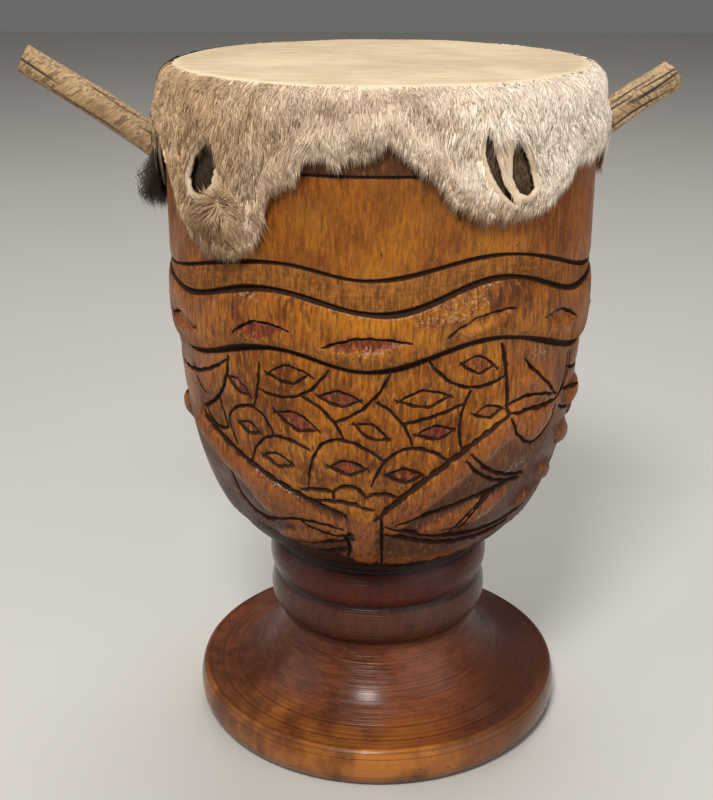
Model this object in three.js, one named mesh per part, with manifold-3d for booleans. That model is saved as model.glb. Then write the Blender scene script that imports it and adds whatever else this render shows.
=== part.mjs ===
// Carved goblet drum. One log gives the hollow bowl, the two neck rings and the flared foot. A goat hide with its
// hair on covers the rim, and two pegs are driven through it into the bowl's wall.
// Millimetres, +Z up, origin at the centre of the foot's underside, front towards -Y.
// An angle is in degrees round the drum from the front, growing towards +X.
import * as THREE from 'three';
import { mergeVertices } from 'three/addons/utils/BufferGeometryUtils.js';
import Module from 'manifold-3d';

const wasm = await Module();
wasm.setup();

// Foot
const footRadius = 96.9;
const footBottomInset = 5.2;
const footLipHeight = 21.4;
const footLipWidth = 5.6;
const footDishDrop = 0.9;

// Neck: a waist and two turned rings
const waistRadius = 51;
const waistHeight = 53;
const neckGrooveRadius = 54;
const lowerRingRadius = 57.1;
const lowerRingThickness = 22;
const upperRingRadius = 57.4;
const upperRingThickness = 19;
const ringGap = 3.5;

// Bowl: its side is a superellipse from the neck up to its widest height, and straight from there
const bowlRadius = 103;
const bowlWidestHeight = 256;
const bowlFullness = 4.5;
const bowlRoundness = 2.4;
const wallThickness = 12.5;
const chamberFloorHeight = 132;
const rimRounding = 4.5;

// Hide head. Its middle stands at the drum's height, and it isn't quite level: the rim and the hide lean up at the
// front and down at the back, from a little way below the rim.
const drumHeight = 342.7;
const headLean = 1.54;
const leanDepth = 40;
const hideThickness = 2.2;
const skirtThickness = 4.8;
const skirtValleyDrop = 28.7;
const skirtEdgeThinning = 1.8;
const fitGap = 0.3;

// Pegs: each has an angle, the drop from the head to where its axis crosses the bowl's side, a tilt above level, and
// its reach out from that crossing
const leftPeg = { angle: -98, drop: 48.7, tilt: 32, reach: 87, tipRadius: 7, rootRadius: 7.8, sides: 12 };
const rightPeg = { angle: 100, drop: 38.2, tilt: 34, reach: 50.5, tipRadius: 6.6, rootRadius: 6.9, sides: 8 };
const pegInnerReach = 26;

// Holes of the lost pegs: angle and drop from the head
const vacantHoleRadius = 7.4;
const vacantHoleTilt = 30;
const vacantHoleSides = 12;
const vacantHolePlaces = [[-47, 51.7], [33.5, 45.7], [152, 49.7], [-153, 49.7]];

// Where the hide hangs lower, round each peg or slot: centre angle, drop and half width in degrees
const hideLobes = [
  [-100, 34, 19], [-43, 45, 18.5], [33, 28, 18.5], [100, 25, 17], [152, 28, 17], [-153, 30, 18],
];

// Slots torn round the vacant holes: centre angle and drop from the head, width, length, lean in degrees
const hideSlots = [
  [-46.4, 37.2, 10, 29, 18], [28.2, 31.2, 3.8, 35, -17], [33.2, 32.2, 8.5, 25, -14],
  [152, 38.7, 9, 26, 8], [-153, 38.7, 9, 26, -6],
];

// Carving. The front's lines are cut again half a turn round, where the back is the plainer side and keeps the waves,
// the borders and only the first few of the leaf lines and tips.
const carvingRepeats = 2;
const backLeafArcs = 9;
const backLeafTips = 3;
const grooveOvercut = 1;

// Wave lines round the bowl: groove width and depth, and the crests and troughs as [angle, height]
const waveLines = [
  { width: 2.3, depth: 1.6, turns: [[-80, 252], [-24, 269.2], [-3, 264.2], [28, 272.3], [78, 253]] },
  { width: 3, depth: 2.2, turns: [[-62, 244.6], [-27, 257], [1, 249], [30, 262.1], [64, 246.4], [90, 247.5]] },
  { width: 3.6, depth: 2.6, turns: [[-62, 216.2], [-26, 229.8], [-3, 222.6], [28, 234.3], [72, 216]] },
];

// Carved lines as arcs through three places, [angle, height] each
const lineWidth = 1.9;
const lineDepth = 1.5;
const scaleArcs = [
  [[-32.4, 221], [-33.2, 210], [-35.2, 198]],
  [[-32.8, 207.9], [-22, 207.6], [-12.8, 222.3]],
  [[-45.4, 188.5], [-42.1, 194.5], [-35.2, 198]],
  [[-35.2, 198], [-31.3, 193], [-29.4, 185.2]],
  [[-20, 208], [-13.5, 200.8], [-9.1, 188.2]],
  [[-11.8, 196.9], [-2, 208], [2.7, 221]],
  [[-38.5, 168], [-31, 184.3], [-18.7, 181.2]],
  [[-20, 161.9], [-13, 187.5], [1.7, 178]],
  [[-45.4, 189], [-45, 182.3], [-43.3, 175]],
  [[-0.2, 207.7], [5.4, 198.8], [9.1, 184.6]],
  [[-2, 163.9], [6.5, 183.8], [19.4, 176]],
  [[12.8, 226.3], [21.5, 213.3], [34.5, 214.5]],
  [[24.2, 210.2], [21.7, 196], [22.8, 182.5]],
  [[6.6, 197.2], [14.5, 200], [21.9, 204.4]],
  [[-22.9, 158.7], [-15, 160.6], [-3.4, 158.2]],
  [[-19.2, 153.5], [-10, 154.6], [-1.3, 151.3]],
];
const borderWidth = 2.6;
const borderDepth = 2;
const scaleBorders = [
  [[-43.3, 219.5], [-45.5, 206], [-57.9, 187.4]],
  [[-59, 184], [-38.7, 167.4], [-9.3, 146.4]],
  [[32.8, 230], [35.6, 208], [36.2, 194.5]],
  [[36.2, 194.5], [19, 175.5], [-0.6, 146]],
];
const leafArcs = [
  [[63, 206], [84, 199], [104, 209]], [[62, 186], [84, 176], [107, 183]], [[60, 139], [84, 160], [112, 150]],
  [[41.1, 220.1], [50, 205.3], [58.3, 194.3]], [[37.2, 192.3], [41, 182], [48.6, 174.2]],
  [[24.6, 177.2], [32.4, 164.6], [47, 157.1]], [[5.5, 143.3], [22, 150.2], [41.7, 157.6]],
  [[2, 142.3], [24, 131.5], [57.4, 134.8]], [[-49.4, 156.2], [-45.5, 140], [-36.1, 135.4]],
  [[64.1, 212], [64.6, 203], [60.2, 191.7]], [[36.7, 199.3], [45.6, 200.8], [55.2, 195.6]],
  [[48.6, 174.2], [54.5, 177.3], [59.6, 188.3]], [[44.8, 157], [35, 153.3], [23, 133]],
  [[1, 148.5], [1.2, 132], [1.5, 113.5]], [[-74.2, 202], [-56, 206.8], [-44, 217.7]],
  [[-56.9, 186.5], [-50.5, 180], [-46.3, 182.6]], [[-36.1, 135.4], [-25.3, 142], [-10.7, 139.3]],
  [[-38.5, 124.8], [-22, 127], [-7.1, 133.4]],
];

// Lens marks cut in the scales: centre angle and height, length and the rise of the mark's right end
const lensWidth = 4.6;
const lensDepth = 1.5;
const scaleLenses = [
  [-23.8, 217.8, 21, 2.5], [-40.2, 206.7, 14, -6.5], [-10.1, 208.8, 18, -0.6], [-22, 195.2, 21, -6],
  [-1.9, 193.2, 16, -7.5], [-37.7, 186.4, 13.5, -1.6], [-29, 173, 16.5, -1.4], [-8.3, 174, 17, 0],
  [7.2, 170.2, 17, -1], [11.8, 208.8, 23.5, 1.1], [26, 222.5, 16, -3], [30.2, 198.2, 15, 0.5], [15.1, 191.6, 17.5, 1],
];

// Gouge marks cut in the strap between the second and third wave lines, in the same terms
const gougeWidth = 6.5;
const gougeDepth = 1.8;
const strapGouges = [[-31, 237.2, 29, 6], [-3.3, 235.6, 32, 2.6], [25.6, 243, 31, 9.5], [54, 236, 33, -8.5]];

// Leaf tips that stand proud of the side: centre angle and height, length, rise of the right end, width and height
const leafTips = [
  [93, 171, 32, 8, 14, 3.6], [74, 187, 30, 4, 13, 4], [53, 141, 26, 6, 9, 3],
  [71, 166, 27, -8, 12, 4], [61, 151, 24, -10, 11, 3.6], [50, 187, 24, 5, 13, 2.4], [-57, 176, 26, -12, 11, 2.4],
];

// Fineness of the facets
const bowlColumns = 36;
const chamberColumns = 20;
const hideColumns = 44;
const carvingStep = 13;
const lensSteps = 2;

const lipInnerRadius = footRadius - footLipWidth;
const lowerRingBottom = waistHeight + ringGap;
const upperRingBottom = lowerRingBottom + lowerRingThickness;
const bowlBottom = upperRingBottom + upperRingThickness;
const rimHeight = drumHeight - hideThickness - fitGap;
const leanStart = rimHeight - leanDepth;

const carvedWood = { color: 0x8a4a1c, roughness: 0.35, metalness: 0 };
const furredHide = { color: 0xd8c4a8, roughness: 0.9, metalness: 0 };
const dryStick = { color: 0x9a7a4a, roughness: 0.8, metalness: 0 };

// A closed mesh that faces outwards, from points and triangles
function closedGeometry(points, triangles) {
  let volume = 0;
  for (const [a, b, c] of triangles) {
    volume += points[a].dot(new THREE.Vector3().crossVectors(points[b], points[c]));
  }
  const faces = volume < 0 ? triangles.map(([a, b, c]) => [a, c, b]) : triangles;
  const geometry = new THREE.BufferGeometry();
  geometry.setAttribute('position', new THREE.Float32BufferAttribute(points.flatMap((p) => p.toArray()), 3));
  geometry.setIndex(faces.flat());
  return geometry;
}

// A manifold solid from a closed mesh, its shared vertices merged and its collapsed triangles dropped
function toSolid(geometry) {
  const bare = geometry.clone();
  bare.deleteAttribute('normal');
  bare.deleteAttribute('uv');
  const merged = mergeVertices(bare, 1e-4);
  const index = merged.index.array;
  const kept = [];
  for (let i = 0; i < index.length; i += 3) {
    const [a, b, c] = [index[i], index[i + 1], index[i + 2]];
    if (a !== b && b !== c && c !== a) {
      kept.push(a, b, c);
    }
  }
  return new wasm.Manifold(new wasm.Mesh({
    numProp: 3,
    vertProperties: new Float32Array(merged.attributes.position.array),
    triVerts: new Uint32Array(kept),
  }));
}

function toGeometry(solid) {
  const mesh = solid.getMesh();
  const geometry = new THREE.BufferGeometry();
  geometry.setAttribute('position', new THREE.BufferAttribute(new Float32Array(mesh.vertProperties), 3));
  geometry.setIndex(new THREE.BufferAttribute(new Uint32Array(mesh.triVerts), 1));
  return geometry;
}

const rad = THREE.MathUtils.degToRad;

// Moves a point of the head up at the front and down at the back, in full from the rim up
function leaned(point) {
  const share = THREE.MathUtils.clamp((point.z - leanStart) / leanDepth, 0, 1);
  point.z -= point.y * Math.tan(rad(headLean)) * share;
  return point;
}

// A solid turned about the drum's axis from a profile of [radius, height] that starts and ends on the axis
function turned(profile, columns) {
  const lathe = new THREE.LatheGeometry(profile.map(([r, z]) => new THREE.Vector2(r, z)), columns);
  lathe.rotateX(Math.PI / 2);
  const places = lathe.attributes.position;
  for (let i = 0; i < places.count; i += 1) {
    const point = leaned(new THREE.Vector3().fromBufferAttribute(places, i));
    places.setXYZ(i, point.x, point.y, point.z);
  }
  return toSolid(lathe);
}

// A superellipse's fall-off: 1 where share is 0, and 0 where share is 1
const superellipse = (share, roundness, fullness) => (1 - share ** roundness) ** (1 / fullness);

function bowlSide(height) {
  const share = Math.min(1, Math.max(0, (bowlWidestHeight - height) / (bowlWidestHeight - bowlBottom)));
  const side = Math.max(neckGrooveRadius, bowlRadius * superellipse(share, bowlRoundness, bowlFullness));
  const intoRim = Math.max(0, height - (rimHeight - rimRounding * 2)) / (rimRounding * 2);
  return side - rimRounding * (1 - Math.sqrt(1 - Math.min(1, intoRim) ** 2));
}

// The place on the bowl's side at an angle and a height, with the outward direction there
function onSide(angle, height) {
  const step = 0.5;
  const slope = (bowlSide(height + step) - bowlSide(height - step)) / (2 * step);
  const across = new THREE.Vector3(Math.sin(rad(angle)), -Math.cos(rad(angle)), 0);
  const point = across.clone().multiplyScalar(bowlSide(height)).setZ(height);
  return { point, out: across.clone().setZ(-slope).normalize() };
}

// A wedge that follows places on the bowl's side. Each place has an angle, a height and a size from 0 to 1 that
// shrinks the section there. A cut goes down by depth; a ridge stands up by it.
function wedge(places, width, depth, closed, ridge) {
  const points = [];
  places.forEach(([angle, height, size], i) => {
    const last = places.length - 1;
    const before = places[i === 0 ? (closed ? last : 0) : i - 1];
    const after = places[i === last ? (closed ? 0 : last) : i + 1];
    const { point, out } = onSide(angle, height);
    const along = onSide(after[0], after[1]).point.sub(onSide(before[0], before[1]).point).normalize();
    const sideways = new THREE.Vector3().crossVectors(out, along).normalize();
    const reach = ridge ? -grooveOvercut : grooveOvercut;
    const half = (width / 2) * size * (1 + grooveOvercut / depth);
    const keel = (ridge ? depth : -depth) * size;
    points.push(
      point.clone().addScaledVector(sideways, half).addScaledVector(out, reach),
      point.clone().addScaledVector(sideways, -half).addScaledVector(out, reach),
      point.clone().addScaledVector(out, keel),
    );
  });
  const triangles = [];
  const spans = closed ? places.length : places.length - 1;
  for (let i = 0; i < spans; i += 1) {
    const a = i * 3;
    const b = ((i + 1) % places.length) * 3;
    for (let k = 0; k < 3; k += 1) {
      const next = (k + 1) % 3;
      triangles.push([a + k, a + next, b + next], [a + k, b + next, b + k]);
    }
  }
  if (!closed) {
    const end = (places.length - 1) * 3;
    triangles.push([0, 2, 1], [end, end + 1, end + 2]);
  }
  return toSolid(closedGeometry(points, triangles));
}

const unrolled = ([angle, height]) => new THREE.Vector2(rad(angle) * bowlRadius, height);

// The places of an arc through three places, struck in the unrolled side of the bowl
function arcPlaces(start, middle, end) {
  const [a, b, c] = [unrolled(start), unrolled(middle), unrolled(end)];
  const chord = c.clone().sub(a);
  const toMiddle = b.clone().sub(a);
  const turn = chord.cross(toMiddle);
  const steps = Math.max(2, Math.round((a.distanceTo(b) + b.distanceTo(c)) / carvingStep));
  const places = [];
  const d = 2 * turn;
  const straight = Math.abs(turn) < 0.02 * chord.lengthSq();
  const centre = straight ? null : new THREE.Vector2(
    a.x + (toMiddle.y * -chord.lengthSq() + chord.y * toMiddle.lengthSq()) / -d,
    a.y + (toMiddle.x * chord.lengthSq() - chord.x * toMiddle.lengthSq()) / -d,
  );
  for (let i = 0; i <= steps; i += 1) {
    const t = i / steps;
    const size = Math.min(1, 0.3 + 2.4 * Math.min(t, 1 - t));
    let at = a.clone().lerp(c, t);
    if (!straight) {
      const from = a.clone().sub(centre).angle();
      let sweep = c.clone().sub(centre).angle() - from;
      if (turn > 0) {
        sweep -= sweep > 0 ? 2 * Math.PI : 0;
      } else {
        sweep += sweep < 0 ? 2 * Math.PI : 0;
      }
      const radius = a.distanceTo(centre);
      const angle = from + sweep * t;
      at = centre.clone().add(new THREE.Vector2(Math.cos(angle), Math.sin(angle)).multiplyScalar(radius));
    }
    places.push([THREE.MathUtils.radToDeg(at.x / bowlRadius), at.y, size]);
  }
  return places;
}

// The places along a lens-shaped mark: a straight mark whose section swells to its middle
function lensPlaces(angle, height, length, rise, steps) {
  const halfAngle = THREE.MathUtils.radToDeg(length / 2 / bowlRadius);
  const places = [];
  for (let i = 0; i <= steps; i += 1) {
    const t = (2 * i) / steps - 1;
    places.push([angle + halfAngle * t, height + (rise / 2) * t, Math.max(0.08, 1 - t * t)]);
  }
  return places;
}

const turnedRound = (places, turn) => places.map(([angle, height, size]) => [angle + turn, height, size]);

// Each height of a wave line eases from one crest or trough to the next along half a cosine
function waveHeight(turns, angle) {
  const period = 360 / carvingRepeats;
  const first = turns[0][0];
  const at = first + THREE.MathUtils.euclideanModulo(angle - first, period);
  const all = [...turns, [first + period, turns[0][1]]];
  const i = all.findIndex(([, ], k) => k + 1 < all.length && at <= all[k + 1][0]);
  const [[a0, z0], [a1, z1]] = [all[i], all[i + 1]];
  return z0 + ((z1 - z0) * (1 - Math.cos((Math.PI * (at - a0)) / (a1 - a0)))) / 2;
}

function waveCuts() {
  return waveLines.map(({ width, depth, turns }) => {
    const places = Array.from({ length: bowlColumns }, (_, i) => {
      const angle = (360 * i) / bowlColumns;
      return [angle, waveHeight(turns, angle), 1];
    });
    return wedge(places, width, depth, true, false);
  });
}

// Every carved line and mark of the front, and the same again at each repeat round the bowl
function carvedCuts() {
  const cuts = [];
  for (let i = 0; i < carvingRepeats; i += 1) {
    const turn = (360 * i) / carvingRepeats;
    const cutArc = (arc, width, depth) => {
      cuts.push(wedge(turnedRound(arcPlaces(...arc), turn), width, depth, false, false));
    };
    const cutLens = ([angle, height, length, rise], width, depth) => {
      cuts.push(wedge(turnedRound(lensPlaces(angle, height, length, rise, lensSteps), turn), width, depth, false, false));
    };
    scaleBorders.forEach((arc) => cutArc(arc, borderWidth, borderDepth));
    leafArcs.slice(0, i === 0 ? leafArcs.length : backLeafArcs)
      .forEach((arc) => cutArc(arc, borderWidth, borderDepth));
    if (i === 0) {
      scaleArcs.forEach((arc) => cutArc(arc, lineWidth, lineDepth));
      scaleLenses.forEach((lens) => cutLens(lens, lensWidth, lensDepth));
      strapGouges.forEach((lens) => cutLens(lens, gougeWidth, gougeDepth));
    }
  }
  return cuts;
}

function leafTipRidges() {
  const ridges = [];
  for (let i = 0; i < carvingRepeats; i += 1) {
    const tips = leafTips.slice(0, i === 0 ? leafTips.length : backLeafTips);
    for (const [angle, height, length, rise, width, proud] of tips) {
      const places = turnedRound(lensPlaces(angle, height, length, rise, 2 * lensSteps), (360 * i) / carvingRepeats);
      ridges.push(wedge(places, width, proud, false, true));
    }
  }
  return ridges;
}

// A round stick along a peg's axis, from inside the bowl's wall outwards
function stick(peg, from, to, fromRadius, toRadius) {
  const { point } = onSide(peg.angle, drumHeight - peg.drop);
  const axis = new THREE.Vector3(Math.sin(rad(peg.angle)), -Math.cos(rad(peg.angle)), 0)
    .multiplyScalar(Math.cos(rad(peg.tilt)))
    .setZ(Math.sin(rad(peg.tilt)));
  const cylinder = new THREE.CylinderGeometry(toRadius, fromRadius, to - from, peg.sides);
  cylinder.applyQuaternion(new THREE.Quaternion().setFromUnitVectors(new THREE.Vector3(0, 1, 0), axis));
  const middle = point.addScaledVector(axis, (from + to) / 2);
  cylinder.translate(middle.x, middle.y, middle.z);
  return cylinder;
}

function pegGeometry(peg) {
  return stick(peg, -pegInnerReach, peg.reach, peg.rootRadius, peg.tipRadius);
}

// The clearance hole that a peg or a vacant place takes through the wall and the hide
function pegHole(peg) {
  const radius = (peg.rootRadius + fitGap) / Math.cos(Math.PI / peg.sides);
  return toSolid(stick(peg, -2 * pegInnerReach, 2 * pegInnerReach, radius, radius));
}

function ringProfile(bottomRadius, topRadius, ringRadius, bottom, thickness) {
  return [0.02, 0.18, 0.5, 0.82, 0.98].map((t) => {
    const root = bottomRadius + (topRadius - bottomRadius) * t;
    return [root + (ringRadius - root) * Math.sin(Math.PI * t) ** 0.6, bottom + thickness * t];
  });
}

function shellProfile() {
  const dish = [0, 0.35, 0.65, 0.88].map((t) => [
    lipInnerRadius + (waistRadius - lipInnerRadius) * t,
    footLipHeight - footDishDrop
      + (waistHeight - footLipHeight + footDishDrop) * (1 - superellipse(t, 2.5, 1.4)),
  ]);
  const side = [4, 8, 14, 24, 42, 72, 110].map((up) => [bowlSide(bowlBottom + up), bowlBottom + up]);
  const rim = [2, 0.9, 0.35, 0].map((t) => [bowlSide(rimHeight - rimRounding * t), rimHeight - rimRounding * t]);
  return [
    [0, 0],
    [footRadius - footBottomInset, 0],
    [footRadius - footBottomInset * 0.62, 1.4],
    [footRadius - 0.7, footLipHeight * 0.28],
    [footRadius, footLipHeight * 0.58],
    [footRadius - 0.9, footLipHeight * 0.86],
    [footRadius - 2.6, footLipHeight],
    ...dish,
    [waistRadius, waistHeight],
    ...ringProfile(waistRadius + 0.5, neckGrooveRadius, lowerRingRadius, lowerRingBottom, lowerRingThickness),
    ...ringProfile(neckGrooveRadius, neckGrooveRadius, upperRingRadius, upperRingBottom, upperRingThickness),
    [neckGrooveRadius, bowlBottom],
    ...side,
    [bowlRadius, bowlWidestHeight],
    ...rim,
    [0, rimHeight],
  ];
}

// The hollow of the bowl, open at the rim: the wall keeps its thickness up to the rounded floor
function chamberProfile() {
  const depth = rimHeight - chamberFloorHeight;
  const inner = [0.03, 0.1, 0.2, 0.35, 0.6].map((share) => {
    const height = chamberFloorHeight + depth * share;
    const floorRound = superellipse(1 - Math.min(1, share / 0.2), 2, 2);
    return [(bowlSide(height) - wallThickness) * Math.max(0.5, floorRound), height];
  });
  return [
    [0, chamberFloorHeight],
    [(bowlSide(chamberFloorHeight) - wallThickness) * 0.4, chamberFloorHeight],
    ...inner,
    [bowlRadius - wallThickness, rimHeight],
    [bowlRadius - wallThickness, rimHeight + wallThickness],
    [0, rimHeight + wallThickness],
  ];
}

function shellGeometry(pegs) {
  const uncut = turned(shellProfile(), bowlColumns).subtract(turned(chamberProfile(), chamberColumns));
  const carved = wasm.Manifold.union([uncut, ...leafTipRidges()])
    .subtract(wasm.Manifold.union([...waveCuts(), ...carvedCuts()]));
  return toGeometry(carved.subtract(wasm.Manifold.union(pegs.map(pegHole))));
}

// The hide's hanging edge: a valley below the head, less the drop of every lobe near the angle
function hideEdge(angle) {
  return hideLobes.reduce((edge, [centre, drop, width]) => {
    const away = THREE.MathUtils.euclideanModulo(angle - centre + 180, 360) - 180;
    return edge - drop * Math.exp(-((away / width) ** 4));
  }, drumHeight - skirtValleyDrop + 2 * Math.sin(rad(angle * 9)));
}

// The hide as a closed grid: rows run from the middle of the top, over the rim and down the outside to the hanging
// edge, then back up the inside to the middle of the underside
function hideGeometry() {
  const outside = bowlRadius + fitGap + skirtThickness;
  const inside = (height) => bowlSide(height) + fitGap;
  const shoulder = drumHeight - 18;
  const rows = (angle) => {
    const edge = hideEdge(angle);
    const middle = (shoulder + edge) / 2;
    return [
      [94, drumHeight], [99.5, drumHeight - 1.2], [104.4, drumHeight - 6.5], [outside, shoulder],
      [outside, edge + 4], [outside - skirtEdgeThinning, edge],
      [inside(middle), edge], [inside(middle), rimHeight - 2 * rimRounding],
      [inside(rimHeight - 4) + 0.4, rimHeight - 4], [inside(rimHeight - 1.5) + 0.4, rimHeight - 0.5],
      [bowlRadius - rimRounding, rimHeight + fitGap],
    ];
  };
  const points = [];
  const rowCount = rows(0).length;
  for (let i = 0; i < hideColumns; i += 1) {
    const angle = (360 * i) / hideColumns;
    for (const [r, z] of rows(angle)) {
      points.push(leaned(new THREE.Vector3(r * Math.sin(rad(angle)), -r * Math.cos(rad(angle)), z)));
    }
  }
  const top = points.push(new THREE.Vector3(0, 0, drumHeight)) - 1;
  const under = points.push(new THREE.Vector3(0, 0, rimHeight + fitGap)) - 1;
  const triangles = [];
  for (let i = 0; i < hideColumns; i += 1) {
    const a = i * rowCount;
    const b = ((i + 1) % hideColumns) * rowCount;
    triangles.push([top, b, a], [under, a + rowCount - 1, b + rowCount - 1]);
    for (let k = 0; k < rowCount - 1; k += 1) {
      triangles.push([a + k, b + k, b + k + 1], [a + k, b + k + 1, a + k + 1]);
    }
  }
  return closedGeometry(points, triangles);
}

// A pointed oval cutter that goes through the skirt
function slotCutter([angle, drop, width, length, lean]) {
  const outline = new THREE.Shape();
  outline.moveTo(0, -length / 2);
  outline.quadraticCurveTo(width, 0, 0, length / 2);
  outline.quadraticCurveTo(-width, 0, 0, -length / 2);
  const depth = skirtThickness + fitGap + 3;
  const cutter = new THREE.ExtrudeGeometry(outline, { depth: depth + 6, bevelEnabled: false, curveSegments: 4 });
  cutter.rotateZ(rad(-lean));
  cutter.rotateX(Math.PI / 2);
  cutter.translate(0, -(bowlRadius - 3), drumHeight - drop);
  cutter.rotateZ(rad(angle));
  return toSolid(cutter);
}

function drumheadGeometry(pegs) {
  const cuts = [...hideSlots.map(slotCutter), ...pegs.map(pegHole)];
  return toGeometry(toSolid(hideGeometry()).subtract(wasm.Manifold.union(cuts)));
}

function named(name, geometry, finish) {
  const mesh = new THREE.Mesh(geometry, new THREE.MeshStandardMaterial(finish));
  mesh.name = name;
  return mesh;
}

const vacantHoles = vacantHolePlaces.map(([angle, drop]) => (
  { angle, drop, tilt: vacantHoleTilt, rootRadius: vacantHoleRadius, sides: vacantHoleSides }
));

const drum = new THREE.Group();
drum.add(
  named('shell', shellGeometry([leftPeg, rightPeg, ...vacantHoles]), carvedWood),
  named('drumhead', drumheadGeometry([leftPeg, rightPeg]), furredHide),
  named('peg_left', pegGeometry(leftPeg), dryStick),
  named('peg_right', pegGeometry(rightPeg), dryStick),
);

export default drum;
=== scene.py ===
import math

import bpy
import numpy as np
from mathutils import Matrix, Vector, geometry


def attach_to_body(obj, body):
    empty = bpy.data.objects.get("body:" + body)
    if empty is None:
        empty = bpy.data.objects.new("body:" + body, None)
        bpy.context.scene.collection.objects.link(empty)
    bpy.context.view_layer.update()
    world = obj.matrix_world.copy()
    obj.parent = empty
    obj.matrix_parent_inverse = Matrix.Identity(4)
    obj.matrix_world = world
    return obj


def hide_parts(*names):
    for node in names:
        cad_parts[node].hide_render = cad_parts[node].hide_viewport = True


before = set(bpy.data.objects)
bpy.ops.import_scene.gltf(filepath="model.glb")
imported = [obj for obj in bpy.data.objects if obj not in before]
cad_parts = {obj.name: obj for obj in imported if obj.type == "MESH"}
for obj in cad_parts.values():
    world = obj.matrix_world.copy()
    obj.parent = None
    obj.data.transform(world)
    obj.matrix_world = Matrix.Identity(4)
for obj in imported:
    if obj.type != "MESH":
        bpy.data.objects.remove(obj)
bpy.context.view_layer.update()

# Camera: a hand-held view from just above the head, looking down on the drum's front. It stands straight in
# front of the axis and is turned a little to the left, which puts the drum right of the picture's middle.
camera_back = 0.6729
camera_height = 0.4346
camera_down = 21.47
camera_turn = 0.98
focal_length = 62.99
camera = bpy.data.objects.new("camera", bpy.data.cameras.new("camera"))
camera.data.lens = focal_length
camera.data.sensor_width = 36
camera.location = (0, -camera_back, camera_height)
camera.rotation_euler = (math.radians(90 - camera_down), 0, math.radians(camera_turn))
bpy.context.scene.collection.objects.link(camera)
bpy.context.scene.camera = camera

# Shell: one log of hardwood, turned into a bowl, two neck rings and a flared foot, hollowed from the rim,
# and carved with gouges: three waves round the bowl, a panel of scales with lens marks, and leaves on their
# stems at both sides. Sizes are in millimetres, and angles in degrees round from the front.
MM = 0.001
foot_radius, lip_height, lip_width = 96.9, 21.4, 5.6
waist_radius, waist_height = 51.0, 53.0
groove_radius = 54.0
lower_ring = (56.5, 22.0, 57.1)
upper_ring = (78.5, 19.0, 57.4)
bowl_bottom, bowl_radius, widest_height = 97.5, 103.0, 256.0
rim_height, rim_rounding = 340.2, 4.5
head_lean, lean_depth = 1.54, 40.0
wall, chamber_floor = 12.5, 132.0
band_low, band_high = 111.5, 316.0
seam_angle = 105.0
columns = 240
repeats = (0, 180)

# How deep the wood is cut back or stands proud, and the width and depth of each kind of V cut.
panel_depth, strap_swell, channel_depth = 1.5, 1.5, 0.25
gouge_depth, gouge_lip, lens_depth, edge_rounding = 1.7, 0.6, 0.55, 0.6
scale_cut, border_cut, leaf_cut = (1.7, 1.1), (2.5, 1.7), (2.0, 1.4)
lens_cut, gouge_cut = (1.35, 0.85), (1.5, 1.1)
top_line_height, top_line_half, top_line_depth = 308.2, 0.75, 0.75

# Waves: the cut's width and depth, then the angle and height of each trough and crest.
waves = [
    (2.2, 1.3, [(-80, 252), (-24, 269.2), (-3, 264.2), (28, 272.3), (78, 253)]),
    (2.9, 1.9, [(-62, 244.6), (-27, 257), (1, 249), (30, 262.1), (64, 246.4), (90, 247.5)]),
    (3.4, 2.3, [(-62, 216.2), (-26, 229.8), (-3, 222.6), (28, 234.3), (72, 216)]),
]

# Arcs: three places on each cut's line, as angles and heights.
scale_arcs = [
    ((-32.4, 221), (-33.2, 210), (-35.2, 198)), ((-32.8, 207.9), (-22, 207.6), (-12.8, 222.3)),
    ((-45.4, 188.5), (-42.1, 194.5), (-35.2, 198)), ((-35.2, 198), (-31.3, 193), (-29.4, 185.2)),
    ((-20, 208), (-13.5, 200.8), (-9.1, 188.2)), ((-11.8, 196.9), (-2, 208), (2.7, 221)),
    ((-38.5, 168), (-31, 184.3), (-18.7, 181.2)), ((-20, 161.9), (-13, 187.5), (1.7, 178)),
    ((-45.4, 189), (-45, 182.3), (-43.3, 175)), ((-0.2, 207.7), (5.4, 198.8), (9.1, 184.6)),
    ((-2, 163.9), (6.5, 183.8), (19.4, 176)), ((12.8, 226.3), (21.5, 213.3), (34.5, 214.5)),
    ((24.2, 210.2), (21.7, 196), (22.8, 182.5)), ((6.6, 197.2), (14.5, 200), (21.9, 204.4)),
    ((-22.9, 158.7), (-17, 160.6), (-12.8, 160.1)), ((-12.8, 160.1), (-8, 164), (-3.4, 158.2)),
    ((-3.4, 158.2), (0, 160.3), (5.7, 157.5)), ((-19.2, 153.5), (-10, 154.6), (-1.3, 151.3)),
    ((-12.8, 160.3), (-12.9, 158), (-13, 155.5)),
]
border_arcs = [
    ((-43.3, 219.5), (-45.5, 206), (-57.9, 187.4)), ((-59, 184), (-38.7, 167.4), (-9.3, 146.4)),
    ((32.8, 230), (35.6, 208), (36.2, 194.5)), ((36.2, 194.5), (19, 175.5), (-0.6, 146)),
]
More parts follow.
